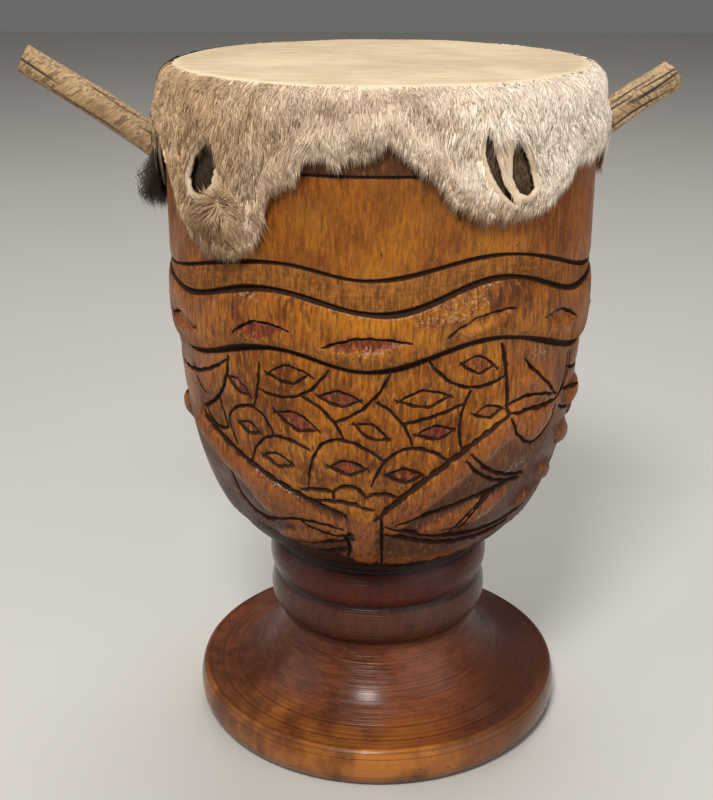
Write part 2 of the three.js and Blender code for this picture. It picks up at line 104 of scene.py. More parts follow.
leaf_arcs = [
    ((41.1, 220.1), (50, 205.3), (58.3, 194.3)), ((63.2, 212), (63.8, 203), (59.4, 191.7)),
    ((65.4, 212), (65.8, 203), (60.6, 192.5)), ((36.7, 199.3), (45.6, 200.8), (55.2, 195.6)),
    ((36.4, 195.4), (46, 193.2), (58.9, 191.4)), ((37.2, 192.3), (41, 182), (48.6, 174.2)),
    ((48.6, 174.2), (54.5, 177.3), (59.6, 188.3)), ((24, 175.5), (31.5, 163.5), (46, 156.2)),
    ((25.4, 178.8), (33.6, 166), (48, 158.2)), ((44.8, 157), (35, 153.3), (24.6, 133.5)),
    ((41, 156.6), (32, 151.3), (21.6, 133)), ((5.5, 143.3), (22, 150.2), (41.7, 157.6)),
    ((2, 142.3), (24, 131.5), (57.4, 134.8)), ((2.5, 137), (24, 127), (50, 128.5)),
    ((1, 148.5), (1.2, 132), (1.5, 113.5)), ((-11, 136), (-9.6, 124), (-12.5, 113.5)),
    ((-74.2, 202), (-56, 206.8), (-44, 217.7)), ((-61.1, 203.7), (-58, 200.3), (-55.4, 195.2)),
    ((-62.3, 206.2), (-59, 202), (-56, 196.6)), ((-48.9, 198.3), (-47.6, 190), (-46.3, 182.6)),
    ((-56.9, 186.5), (-50.5, 180), (-46.3, 182.6)), ((-49.4, 156.2), (-45.5, 140), (-36.1, 135.4)),
    ((-36.1, 135.4), (-25.3, 142), (-10.7, 139.3)), ((-24.6, 142), (-17.9, 137), (-8.3, 135.3)),
    ((-38.5, 124.8), (-22, 127), (-7.1, 133.4)), ((-30, 119), (-20, 120.5), (-9, 125)),
    ((63, 206), (84, 199), (103, 209)), ((62, 186), (84, 176), (103, 183)),
    ((63, 194), (82, 190), (101, 196)), ((60, 139), (84, 160), (103, 150)),
    ((66, 133), (82, 142), (98, 134)), ((74, 176), (80, 166), (92, 158)),
]

# Lens marks and gouges: angle, height, length, width, rise along the length, and share of red dye.
scale_lenses = [
    (-23.8, 217.8, 21, 9, 2.5, 0.1), (-40.2, 206.7, 14.5, 6, -6.5, 0.9),
    (-10.1, 208.8, 19, 7.5, -0.6, 0.75), (-22, 195.2, 22, 8.5, -6, 0.85), (-1.9, 193.2, 17, 7, -7.5, 0.1),
    (-37.7, 186.4, 13.5, 6, -1.6, 0.1), (-29, 173, 16.5, 7, -1.4, 0.4), (-8.3, 174, 18, 7.5, 0, 0.8),
    (7.2, 170.2, 18, 7.5, -1, 0.95), (11.8, 208.8, 23.5, 8.5, 1.1, 0), (26, 222.5, 17, 8.5, -3, 0.7),
    (30.2, 198.2, 15.5, 6.5, 0.5, 0.6), (15.1, 191.6, 18, 7, 1, 0.85),
]
strap_gouges = [
    (-31, 237.6, 27, 8.5, 5, 1), (-3.3, 235.6, 35, 6.5, 2.6, 1), (25.6, 243, 32, 6.5, 9.5, 0.15),
    (54, 236, 27, 7, -6, 0.35), (-64, 228.5, 28, 7, 1, 0.6), (88, 232, 30, 7, 3, 0.4),
]

# Leaf pads: angle, height, length, rise along the length, width, and how far they stand off the panel.
leaf_pads = [
    (93, 171, 34, 8, 15, 3.8), (74, 187, 30, 4, 13, 3.6), (71, 166, 27, -8, 12, 3.6),
    (61, 151, 24, -10, 11, 3.2), (53, 141, 26, 6, 9, 2.6), (48, 184, 34, 6, 18, 2.6),
    (48, 205, 34, -16, 14, 2.1), (27, 143, 60, 16, 15, 3), (-57, 176, 26, -12, 11, 3),
    (-33, 146, 44, -22, 14, 3), (-55, 203, 26, 14, 14, 1.5), (-24, 131, 44, 7, 10, 2.8),
]

# Places that hands have polished, with pale flecks painted on them as the varnish's gleams: angle, height,
# length, width and rise along the length.
polish_and_gleam_places = [
    (-33.5, 253, 16, 9, -1), (19, 249.5, 46, 12, 12), (-3, 231.8, 34, 5, 2), (47, 223, 20, 10, 3),
    (27, 262, 30, 8, 3), (-34, 163.5, 52, 4, -24), (58, 187, 12, 9, 2), (30, 139.5, 56, 4, 5),
    (-40, 127, 30, 5, -3), (44, 165, 30, 5, 8),
]

# The scale panel's left, right and lower limits and the carving's lower edge, as angles and heights.
panel_left = [(-58, 184), (-45.5, 206), (-43.3, 219.5)]
panel_right = [(36.2, 194.5), (35.6, 208), (32.8, 230)]
panel_under = [(-59, 184), (-9, 146.4), (-4, 144), (-0.6, 146), (36.2, 194.5)]
undercut_edge = [
    (-90, 123), (-50, 125), (-33, 124), (-27, 121), (-17, 119.8), (-10, 117), (-1.4, 114.4), (8, 113),
    (24, 113.9), (36, 117), (45, 121), (60, 123), (90, 123),
]
undercut_depth = 2.4

# The foot's rounded edge, from below to its lip: how far inside the foot's radius, and the height.
foot_edge = [
    (5.2, 0), (4.1, 0.4), (3.2, 1.4), (1.8, 3.6), (0.7, 6.2), (0.15, 9.5), (0, 12.5), (0.25, 15.6),
    (0.9, 18.4), (1.7, 20.4), (2.8, lip_height), (4.3, lip_height - 0.2),
]

# Leaf stems: three places on the line, the half width, and how far they stand off the panel.
stems = [(((38.5, 190), (21.5, 170), (3.5, 143)), 8, 2.8), (((-61, 176), (-41, 160), (-13, 138)), 7.5, 2.8),
         (((-4.5, 147), (-4.5, 130), (-5, 113)), 7.5, 2.6)]


def superellipse(share, roundness, fullness):
    """Falls from 1 to 0 as share goes from 0 to 1: (1 - share^roundness)^(1/fullness)."""
    return (1 - np.clip(share, 0, 1) ** roundness) ** (1 / fullness)


def bowl_side(z):
    """The bowl's radius at a height: a superellipse from the neck to the widest height, then straight to a
    rounded rim."""
    z = np.asarray(z, float)
    side = bowl_radius * superellipse((widest_height - z) / (widest_height - bowl_bottom), 2.4, 4.5)
    into = np.clip((z - rim_height + 2 * rim_rounding) / (2 * rim_rounding), 0, 1)
    return np.maximum(groove_radius, side) - rim_rounding * (1 - np.sqrt(1 - into**2))


def leaned(points):
    """Moves points of the head up at the front and down at the back, in full from the rim up."""
    share = np.clip((points[..., 2] - rim_height + lean_depth) / lean_depth, 0, 1)
    shift = -points[..., 1] * math.tan(math.radians(head_lean)) * share
    return points + np.stack([0 * shift, 0 * shift, shift], -1)


def on_side(angle, z, out):
    """Points on the bowl's side at angles and heights, moved out along the normal of the side's profile."""
    slope = bowl_side(z + 0.5) - bowl_side(z - 0.5)
    size = np.sqrt(1 + slope**2)
    radius = bowl_side(z) + out / size
    turn = np.radians(angle)
    return np.stack([radius * np.sin(turn), -radius * np.cos(turn), z - out * slope / size], -1)


def wave_height(turns, angle):
    """Eases from each crest or trough to the next along half a cosine, repeating every half turn."""
    marks = np.array(turns + [(turns[0][0] + 180, turns[0][1])], float)
    at = (np.asarray(angle, float) - marks[0, 0]) % 180 + marks[0, 0]
    i = np.clip(np.searchsorted(marks[:, 0], at, side="right") - 1, 0, len(turns) - 1)
    share = (at - marks[i, 0]) / (marks[i + 1, 0] - marks[i, 0])
    return marks[i, 1] + (marks[i + 1, 1] - marks[i, 1]) * (1 - np.cos(np.pi * share)) / 2


def unrolled(points):
    """Angles and heights to lengths along the unrolled side and heights, with angles kept right of the
    seam."""
    points = np.asarray(points, float)
    angle = (points[..., 0] - seam_angle) % 360 + seam_angle
    return np.stack([np.radians(angle) * bowl_radius, points[..., 1]], -1)


def arc_line(places, step=1.3):
    """A line through three places, a parabola in the unrolled side: both halves meet at the middle
    place."""
    a, b, c = unrolled(places)
    n = max(6, int((np.linalg.norm(b - a) + np.linalg.norm(c - b)) / step))
    t = np.linspace(0, 1, n)[:, None]
    middle_t = np.linalg.norm(b - a) / (np.linalg.norm(b - a) + np.linalg.norm(c - b))
    lift = (b - a * (1 - middle_t) - c * middle_t) / (middle_t * (1 - middle_t))
    return a * (1 - t) + c * t + lift * t * (1 - t)


def undercut(angle, z):
    """How far the bowl is cut back under the carved band's uneven lower edge, fading out above the neck
    groove."""
    edge = np.array(undercut_edge, float)
    height = np.interp((np.asarray(angle) + 90) % 180 - 90, edge[:, 0], edge[:, 1])
    return undercut_depth * between(height - z, 0, 1.1) * between(z, 98, 104)


def tapered(line, width, depth, end=0.35):
    """A cut along a line: columns are place, half width and depth, which shrink to a share at both ends and
    waver a little between them, as a hand-held gouge does."""
    t = np.linspace(0, 1, len(line))
    size = np.clip(end + 5 * np.minimum(t, 1 - t), 0, 1)
    s, z = line.T
    waver = 1 + 0.16 * np.sin(s * 0.9 + z * 0.5) + 0.12 * np.sin(s * 0.37 - z * 1.3)
    shift = 0.16 * np.sin(line[:, ::-1] * 0.8 + 1.7) + 0.1 * np.sin(line[:, ::-1] * 2.1)
    return np.column_stack([line + shift, width / 2 * (0.5 + 0.5 * size) * waver, depth * size * waver])


def lens_lines(angle, height, length, width, rise):
    """The two cuts of a lens mark in the unrolled side, bowed up and down by half its width to a blunt
    corner off their middles. Each runs a little past the tip where they cross."""
    centre = unrolled((angle, height))
    along = np.array([length, rise]) / math.hypot(length, rise)
    across = np.array([-along[1], along[0]])
    lines = []
    for side in (1, -1):
        t = np.linspace(-1.06 if side > 0 else -1.14, 1.14 if side > 0 else 1.06, max(10, int(length / 0.9)))
        peak = -0.14 * side
        tent = 1 - np.abs(t - peak) / (1 - peak * np.sign(t - peak))
        bow = 0.5 * (1 - t * t) + 0.5 * tent
        lines.append(centre + np.outer(t * length / 2, along) + np.outer(side * width / 2 * bow, across))
    return lines


def all_cuts():
    """Every V cut of the bowl, as tapered lines in the unrolled side."""
    cuts = []
    for turn in repeats:
        for arcs, size in ((scale_arcs, scale_cut), (border_arcs, border_cut), (leaf_arcs, leaf_cut)):
            cuts += [tapered(arc_line([(a + turn, z) for a, z in arc]), *size) for arc in arcs]
        for angle, height, length, width, rise, _ in scale_lenses:
            lens = lens_lines(angle + turn, height, length, width, rise)
            cuts += [tapered(line, *lens_cut) for line in lens]
        for angle, height, length, width, rise, _ in strap_gouges:
            cuts.append(tapered(lens_lines(angle + turn, height, length, width, rise)[0], *gouge_cut))
    around = np.linspace(seam_angle, seam_angle + 360, 520)
    for width, depth, turns in waves:
        line = np.column_stack([np.radians(around) * bowl_radius, wave_height(turns, around)])
        wander = 1 + 0.18 * np.sin(np.radians(around * 7)) + 0.1 * np.sin(np.radians(around * 17))
        cuts.append(np.column_stack([line, width / 2 * wander, depth * wander]))
    top_line = np.tile((top_line_height, top_line_half, top_line_depth), (len(around), 1))
    cuts.append(np.column_stack([np.radians(around) * bowl_radius, top_line]))
    return cuts


def cut_depth(points, cuts, ease=4.5):
    """How deep the cuts go at points of the unrolled side, and how near they are: a V from each cut's edges
    to its line, 1 on the line falling to 0 at a quarter past its edge, and 1 on the line falling to 0 at
    the ease's reach, over which the wood beside a cut is rounded down. Where cuts cross, the greater one
    holds."""
    deep = np.zeros(len(points))
    near = np.zeros(len(points))
    soft = np.zeros(len(points))
    for cut in cuts:
        reach = cut[:, 2].max() + ease
        for start in range(0, len(cut) - 1, 40):
            piece = cut[start:start + 41]
            if len(piece) < 2:
                continue
            low, high = piece[:, :2].min(0) - reach, piece[:, :2].max(0) + reach
            inside = np.flatnonzero(np.all((points >= low) & (points <= high), axis=1))
            if len(inside) == 0:
                continue
            p = points[inside][:, None]
            a, b = piece[:-1, :2], piece[1:, :2]
            along = b - a
            t = np.clip(((p - a) * along).sum(-1) / (along**2).sum(-1), 0, 1)
            away = np.linalg.norm(p - a - along * t[..., None], axis=-1)
            half = piece[:-1, 2] * (1 - t) + piece[1:, 2] * t
            depth = piece[:-1, 3] * (1 - t) + piece[1:, 3] * t
            deep[inside] = np.maximum(deep[inside], (depth * np.clip(1 - away / half, 0, 1)).max(1))
            near[inside] = np.maximum(near[inside], np.clip(1 - away / (half * 1.25), 0, 1).max(1))
            eased = np.clip(1 - away / ease, 0, 1).max(1) * min(1, cut[:, 3].max() / 1.1)
            soft[inside] = np.maximum(soft[inside], eased)
    return deep, near, soft


def oval_share(points, angle, height, length, width, rise):
    """1 in the middle of a pointed oval lying on the unrolled side, falling to 0 at its outline and
    beyond."""
    centre = unrolled((angle, height))
    lean = math.atan2(rise, length)
    d = points - centre
    u = (d[:, 0] * math.cos(lean) + d[:, 1] * math.sin(lean)) / (length / 2)
    v = (-d[:, 0] * math.sin(lean) + d[:, 1] * math.cos(lean)) / (width / 2)
    reach = np.clip(1 - u**2, 1e-3, 1)
    return np.where(np.abs(u) < 1, np.clip(1 - (v / reach) ** 2, 0, 1) * reach, 0)


def near_line(points, line, width):
    """1 on a line of the unrolled side, falling as a half circle to 0 at the width to each side."""
    p = points[:, None]
    a, b = line[:-1], line[1:]
    along = b - a
    t = np.clip(((p - a) * along).sum(-1) / (along**2).sum(-1), 0, 1)
    away = np.linalg.norm(p - a - along * t[..., None], axis=-1).min(1)
    return np.sqrt(np.clip(1 - (away / width) ** 2, 0, 1))


def between(value, low, high):
    """A smooth step from 0 at low to 1 at high."""
    share = np.clip((value - low) / (high - low), 0, 1)
    return share * share * (3 - 2 * share)


def carving(points, cuts):
    """The height of the carved side over the turned one, and how near a cut, how red, how dull and how much
    on the leaf panels each point of the unrolled side is.

    The strap between the second and third waves swells, the panel below it is cut back, stems and leaf pads
    stand on the panel as half rounds and pointed pads, and gouges, lens marks and V cuts go down."""
    angle = np.degrees(points[:, 0] / bowl_radius)
    z = points[:, 1]
    w1, w2, w3 = (wave_height(turns, angle) for _, _, turns in waves)
    in_strap = np.clip((z - w3) / (w2 - w3), 0, 1)
    height = strap_swell * np.sqrt(np.clip(4 * in_strap * (1 - in_strap), 0, 1))
    height -= panel_depth * between(w3 - z, 0, 1.2) * between(z, band_low, band_low + 14)
    height -= channel_depth * between(w1 - z, 0, 0.8) * between(z - w2, 0, 0.8)
    tint = np.zeros(len(points))
    for turn in repeats:
        for places, width, proud in stems:
            line = arc_line([(a + turn, h) for a, h in places])
            box = (points > line.min(0) - width) & (points < line.max(0) + width)
            close = np.flatnonzero(np.all(box, axis=1))
            if len(close):
                stem = proud * near_line(points[close], line, width) - panel_depth
                height[close] = np.maximum(height[close], stem)
        for a, h, length, rise, width, proud in leaf_pads:
            share = oval_share(points, a + turn, h, length, width, rise)
            height = np.where(share > 0, np.maximum(height, proud * np.sqrt(share) - panel_depth), height)
        for a, h, length, width, rise, red in strap_gouges:
            share = oval_share(points, a + turn, h, length, width, rise)
            height -= gouge_depth * np.sqrt(share)
            lip = lens_lines(a + turn, h - 0.7, length, width, rise)[1]
            box = (points > lip.min(0) - 3) & (points < lip.max(0) + 3)
            close = np.flatnonzero(np.all(box, axis=1))
            if len(close):
                height[close] += gouge_lip * near_line(points[close], lip, 1.3)
            tint = np.maximum(tint, red * between(share, 0, 0.25))
        for a, h, length, width, rise, red in scale_lenses:
            share = oval_share(points, a + turn, h, length, width, rise)
            height -= lens_depth * between(share, 0, 0.5)
            wide = oval_share(points, a + turn, h, length * 1.25, width * 2.2, rise)
            tint = np.maximum(tint, red * (0.75 * between(share, 0, 0.2) + 0.35 * between(wide, 0, 0.9)))
    deep, near, soft = cut_depth(points, cuts)
    height -= edge_rounding * soft**2
    turned_to = (angle + 90) % 180 - 90
    left_limit = np.interp(z, *np.transpose(panel_left)[::-1])
    right_limit = np.interp(z, *np.transpose(panel_right)[::-1])
    under = np.interp(turned_to, *np.transpose(panel_under))
    scales = between(turned_to - left_limit, -1, 1) * between(right_limit - turned_to, -1, 1)
    scales = scales * between(z - under, -1, 1)
    leaf = (1 - scales) * between(w3 - z, -0.5, 0.5)
    strap = between(w1 - z, -0.5, 0.5) * between(z - w2, -0.5, 0.5)
    hem = between(z - w3, 0, 1) * between(w3 + 5.5 - z, -1, 1)
    return height - deep, near, tint, np.maximum(strap, hem * 0.9), leaf


def band_points(cuts):
    """Places for the carved band's vertices: rows across each cut, a loose field between, and even edges."""
    places = []
    for cut in cuts:
        along = np.gradient(cut[:, :2], axis=0)
        along /= np.linalg.norm(along, axis=1)[:, None]
        across = np.stack([-along[:, 1], along[:, 0]], -1)
        for share in (-1.35, -1, -0.5, 0, 0.5, 1, 1.35):
            places.append(cut[:, :2] + across * (cut[:, 2] * share)[:, None])
    low_s, high_s = math.radians(seam_angle) * bowl_radius, math.radians(seam_angle + 360) * bowl_radius
    spacing = 2.3
    s, z = np.meshgrid(np.arange(low_s, high_s, spacing), np.arange(band_low, band_high, spacing))
    shake = np.random.default_rng(7).uniform(-0.7, 0.7, (s.size, 2))
    places.append(np.column_stack([s.ravel(), z.ravel()]) + shake)
    inner = np.concatenate(places)
    margin = 0.8
    inner = inner[(inner[:, 0] > low_s + margin) & (inner[:, 0] < high_s - margin)
                  & (inner[:, 1] > band_low + margin) & (inner[:, 1] < band_high - margin)]
    merge_size = 0.42
    _, first = np.unique(np.round(inner / merge_size), axis=0, return_index=True)
    inner = inner[np.sort(first)]
    side = np.arange(band_low, band_high, 1.5)[1:]
    around = np.linspace(low_s, high_s, columns + 1)
    edges = [np.column_stack([around, np.full(columns + 1, band_low)]),
             np.column_stack([around, np.full(columns + 1, band_high)]),
             np.column_stack([np.full(len(side), low_s), side]),
             np.column_stack([np.full(len(side), high_s), side])]
    return np.concatenate(edges + [inner])


def ring_rows(bottom_radius, bottom, thickness, radius):
    """A turned ring's profile: it swells from its roots by a flattened half sine."""
    t = np.linspace(0.01, 0.99, 13)
    root = bottom_radius + (groove_radius - bottom_radius) * t
    return np.column_stack([root + (radius - root) * np.sin(np.pi * t) ** 0.6, bottom + thickness * t])


def ring_faces(rows):
    """Two triangles for each cell between rows of vertex numbers that run round a closed ring."""
    a, b = rows[:-1], np.roll(rows[:-1], -1, 1)
    c, d = np.roll(rows[1:], -1, 1), rows[1:]
    return np.concatenate([np.stack([a, b, c], -1).reshape(-1, 3), np.stack([a, c, d], -1).reshape(-1, 3)])


def fan_faces(row, middle):
    """Triangles from each side of a closed row of vertex numbers to one in its middle."""
    return np.stack([row, np.roll(row, -1), np.full(len(row), middle)], -1)


def shell_mesh():
    """The shell as one closed mesh: the carved band, triangulated in the unrolled side and wrapped on the
    bowl, between turned rows that go down over rings and foot to the axis, and up over the rim into the
    chamber."""
    cuts = all_cuts()
    flat, _, triangles, *_ = geometry.delaunay_2d_cdt([Vector(p) for p in band_points(cuts)], [], [], 0, 1e-5)
    places = np.array([tuple(p) for p in flat])
    triangles = np.array([tuple(t) for t in triangles])
    low_s, high_s = places[:, 0].min(), places[:, 0].max()
    height = carving(places, cuts)[0]
    fade = between(places[:, 1], band_low, band_low + 2) * between(-places[:, 1], -band_high, -band_high + 3)
    band_angle = np.degrees(places[:, 0] / bowl_radius)
    band = on_side(band_angle, places[:, 1], height * fade - undercut(band_angle, places[:, 1]))
    left = np.flatnonzero(places[:, 0] < low_s + 1e-4)
    right = np.flatnonzero(places[:, 0] > high_s - 1e-4)
    left, right = (side[np.argsort(places[side, 1])] for side in (left, right))
    same = np.arange(len(places))
    same[right] = left
    triangles = same[triangles]

    lip = foot_radius - lip_width
    t = np.linspace(0, 0.99, 22)
    dish_low = lip_height - 0.9
    dish = np.column_stack([lip + (waist_radius - lip) * t,
                            dish_low + (waist_height - dish_low) * (1 - superellipse(t, 2.5, 1.4))])
    dish[:, 1] += 0.16 * np.sin(dish[:, 0] * 1.9)
    foot = [(foot_radius - back, z) for back, z in foot_edge]
    climb = np.array([98.6, 99.4, 100.4, 101.6, 103, 104.6, 106.4, 108.4])
    climb = -on_side(0 * climb, climb, -undercut(0 * climb, climb))[:, 1:] * (1, -1)
    below = [(30, 0), (70, 0), *foot, *dish,
             (waist_radius, waist_height), (waist_radius + 0.2, lower_ring[0] - 1),
             *ring_rows(waist_radius + 0.5, *lower_ring), *ring_rows(groove_radius, *upper_ring),
             (groove_radius, bowl_bottom + 0.6), *climb]
    rim = rim_height - np.array([15.5, 9.5, 5.5, 2.5, 0.7, 0])
    inside = np.array([330, 290, 240, 200, 170, 150, 140, 134, chamber_floor])
    floor_round = superellipse(1 - np.clip((inside - chamber_floor) / 38, 0, 1), 2, 2)
    above = [*np.column_stack([bowl_side(rim), rim]), (bowl_radius - wall, rim_height),
             *np.column_stack([(bowl_side(inside) - wall) * np.maximum(0.45, floor_round), inside])]
    around = np.linspace(seam_angle, seam_angle + 360, columns + 1)[:-1]
    turn = np.radians(around)
    vertices = [band]
    faces = [triangles]
    count = len(band)

    def edge_row(z):
        row = np.flatnonzero(np.abs(places[:, 1] - z) < 1e-4)
        row = row[np.argsort(places[row, 0])][:-1]
        return row[np.round(np.linspace(0, len(row), columns + 1)[:-1]).astype(int)]

    for profile, z, upward in ((below[::-1], band_low, False), (above, band_high, True)):
        profile = np.array(profile, float)
        grid = np.stack([profile[:, :1] * np.sin(turn), -profile[:, :1] * np.cos(turn),
                         np.repeat(profile[:, 1:], columns, 1)], -1)
        numbers = count + np.arange(grid.shape[0] * columns).reshape(-1, columns)
        rows = np.concatenate([edge_row(z)[None], numbers])
        vertices.append(grid.reshape(-1, 3))
        count += len(vertices[-1])
        end = count
        vertices.append(np.array([[0, 0, profile[-1, 1]]]))
        count += 1
        made = np.concatenate([ring_faces(rows), fan_faces(rows[-1], end)])
        faces.append(made if upward else made[:, ::-1])
    faces = np.concatenate(faces)
    faces = faces[(faces[:, 0] != faces[:, 1]) & (faces[:, 1] != faces[:, 2]) & (faces[:, 2] != faces[:, 0])]
    return leaned(np.concatenate(vertices)) * MM, faces


def mesh_object(name, vertices, faces):
    """A smooth-shaded object from arrays of points in metres and of triangles, at the origin."""
    mesh = bpy.data.meshes.new(name)
    mesh.vertices.add(len(vertices))
    mesh.vertices.foreach_set("co", np.asarray(vertices, np.float32).ravel())
    mesh.loops.add(faces.size)
    mesh.loops.foreach_set("vertex_index", np.asarray(faces, np.int32).ravel())
    mesh.polygons.add(len(faces))
    mesh.polygons.foreach_set("loop_start", np.arange(0, faces.size, 3, dtype=np.int32))
    mesh.polygons.foreach_set("use_smooth", np.ones(len(faces), bool))
    mesh.update(calc_edges=True)
    mesh.validate()
    made = bpy.data.objects.new(name, mesh)
    bpy.context.scene.collection.objects.link(made)
    return made


def point_array(piece):
    """A piece's vertices in millimetres, as rows."""
    co = np.zeros(len(piece.data.vertices) * 3, np.float32)
    piece.data.vertices.foreach_get("co", co)
    return co.reshape(-1, 3).astype(float) / MM


def set_marks(piece, name, values):
    """Stores one colour-like mark of three numbers at each vertex."""
    rgba = np.column_stack([values, np.ones(len(values))]).astype(np.float32)
    piece.data.attributes.new(name, "FLOAT_COLOR", "POINT").data.foreach_set("color", rgba.ravel())


def cut_away(piece, cutters):
    """Takes closed cutters out of a piece with an applied Boolean, and deletes the cutters."""
    for cutter in cutters:
        modifier = piece.modifiers.new("cut", "BOOLEAN")
        modifier.operation = "DIFFERENCE"
        modifier.solver = "MANIFOLD"
        modifier.object = cutter
    bpy.context.view_layer.update()
    cut = bpy.data.meshes.new_from_object(piece.evaluated_get(bpy.context.evaluated_depsgraph_get()))
    piece.modifiers.clear()
    piece.data = cut
    for cutter in cutters:
        bpy.data.objects.remove(cutter)


class Shade:
    """One socket of a material's nodes. Its operators add Math nodes, so that shader maths reads as
    Python."""

    def __init__(self, tree, socket=None):
        self.tree = tree
        self.socket = socket

    def node(self, kind, settings, sockets, out=0):
        """Adds a node: first its settings, then the values or links of its sockets."""
        made = self.tree.nodes.new(kind)
        for name, value in settings.items():
            setattr(made, name, value)
        for name, value in sockets.items():
            if isinstance(value, Shade):
                self.tree.links.new(value.socket, made.inputs[name])
            else:
                made.inputs[name].default_value = value
        return Shade(self.tree, made.outputs[out])

    def math(self, operation, first, second=0.0):
        return self.node("ShaderNodeMath", {"operation": operation}, {0: first, 1: second})

    def __add__(self, other):
        return self.math("ADD", self, other)

    def __sub__(self, other):
        return self.math("SUBTRACT", self, other)

    def __mul__(self, other):
        return self.math("MULTIPLY", self, other)

    __radd__ = __add__
    __rmul__ = __mul__

    def __rsub__(self, other):
        return self.math("SUBTRACT", other, self)

    def __pow__(self, power):
        return self.math("POWER", self, power)

    def step(self, low, high):
        """A smooth step from 0 at low to 1 at high."""
        return self.node("ShaderNodeMapRange", {"interpolation_type": "SMOOTHSTEP"},
                         {"Value": self, "From Min": low, "From Max": high})

    def mix(self, colour, other):
        """The first colour where this is 0, the other where it is 1."""
        def four(value):
            return value if isinstance(value, Shade) else (*value, 1)
        sockets = {0: self, 6: four(colour), 7: four(other)}
        return self.node("ShaderNodeMix", {"data_type": "RGBA"}, sockets, 2)

    def noise(self, where, scale, detail=3.0, roughness=0.55):
        return self.node("ShaderNodeTexNoise", {}, {"Vector": where, "Scale": scale, "Detail": detail,
                                                    "Roughness": roughness})

    def channels(self, name):
        """The three numbers of a stored mark."""
        stored = self.node("ShaderNodeAttribute", {"attribute_name": name}, {})
        return [self.node("ShaderNodeSeparateColor", {}, {0: stored}, k) for k in range(3)]

    def axes(self, where):
        """The x, y and z of a place, in metres."""
        return [self.node("ShaderNodeSeparateXYZ", {}, {0: where}, k) for k in range(3)]

    def bump(self, strength, distance, height):
        return self.node("ShaderNodeBump", {}, {"Strength": strength, "Distance": distance, "Height": height})

    def stretched(self, where, scale):
        """Places scaled by three shares, which stretches a pattern along the small ones."""
        return self.node("ShaderNodeMapping", {}, {"Vector": where, "Scale": scale})


def new_material(name):
    """A material with one Principled shader, as the material, its nodes, the shader and its Object
    coordinates."""
    material = bpy.data.materials.new(name)
    material.use_nodes = True
    tree = material.node_tree
    nodes = Shade(tree)
    shader = tree.nodes["Principled BSDF"]
    where = nodes.node("ShaderNodeTexCoord", {}, {}, 3)
    return material, nodes, shader, where


def attach(nodes, shader, **sockets):
    """Links or sets the shader's sockets; underscores stand for the spaces in their names."""
    for name, value in sockets.items():
        socket = shader.inputs[name.replace("_", " ")]
        if isinstance(value, Shade):
            nodes.tree.links.new(value.socket, socket)
        else:
            socket.default_value = value


collar_height = 258.0
# Below this height the zones' second number is the undercut's painted shadow, and above it the polish with
# its painted gleams.
worn_from = 140.0


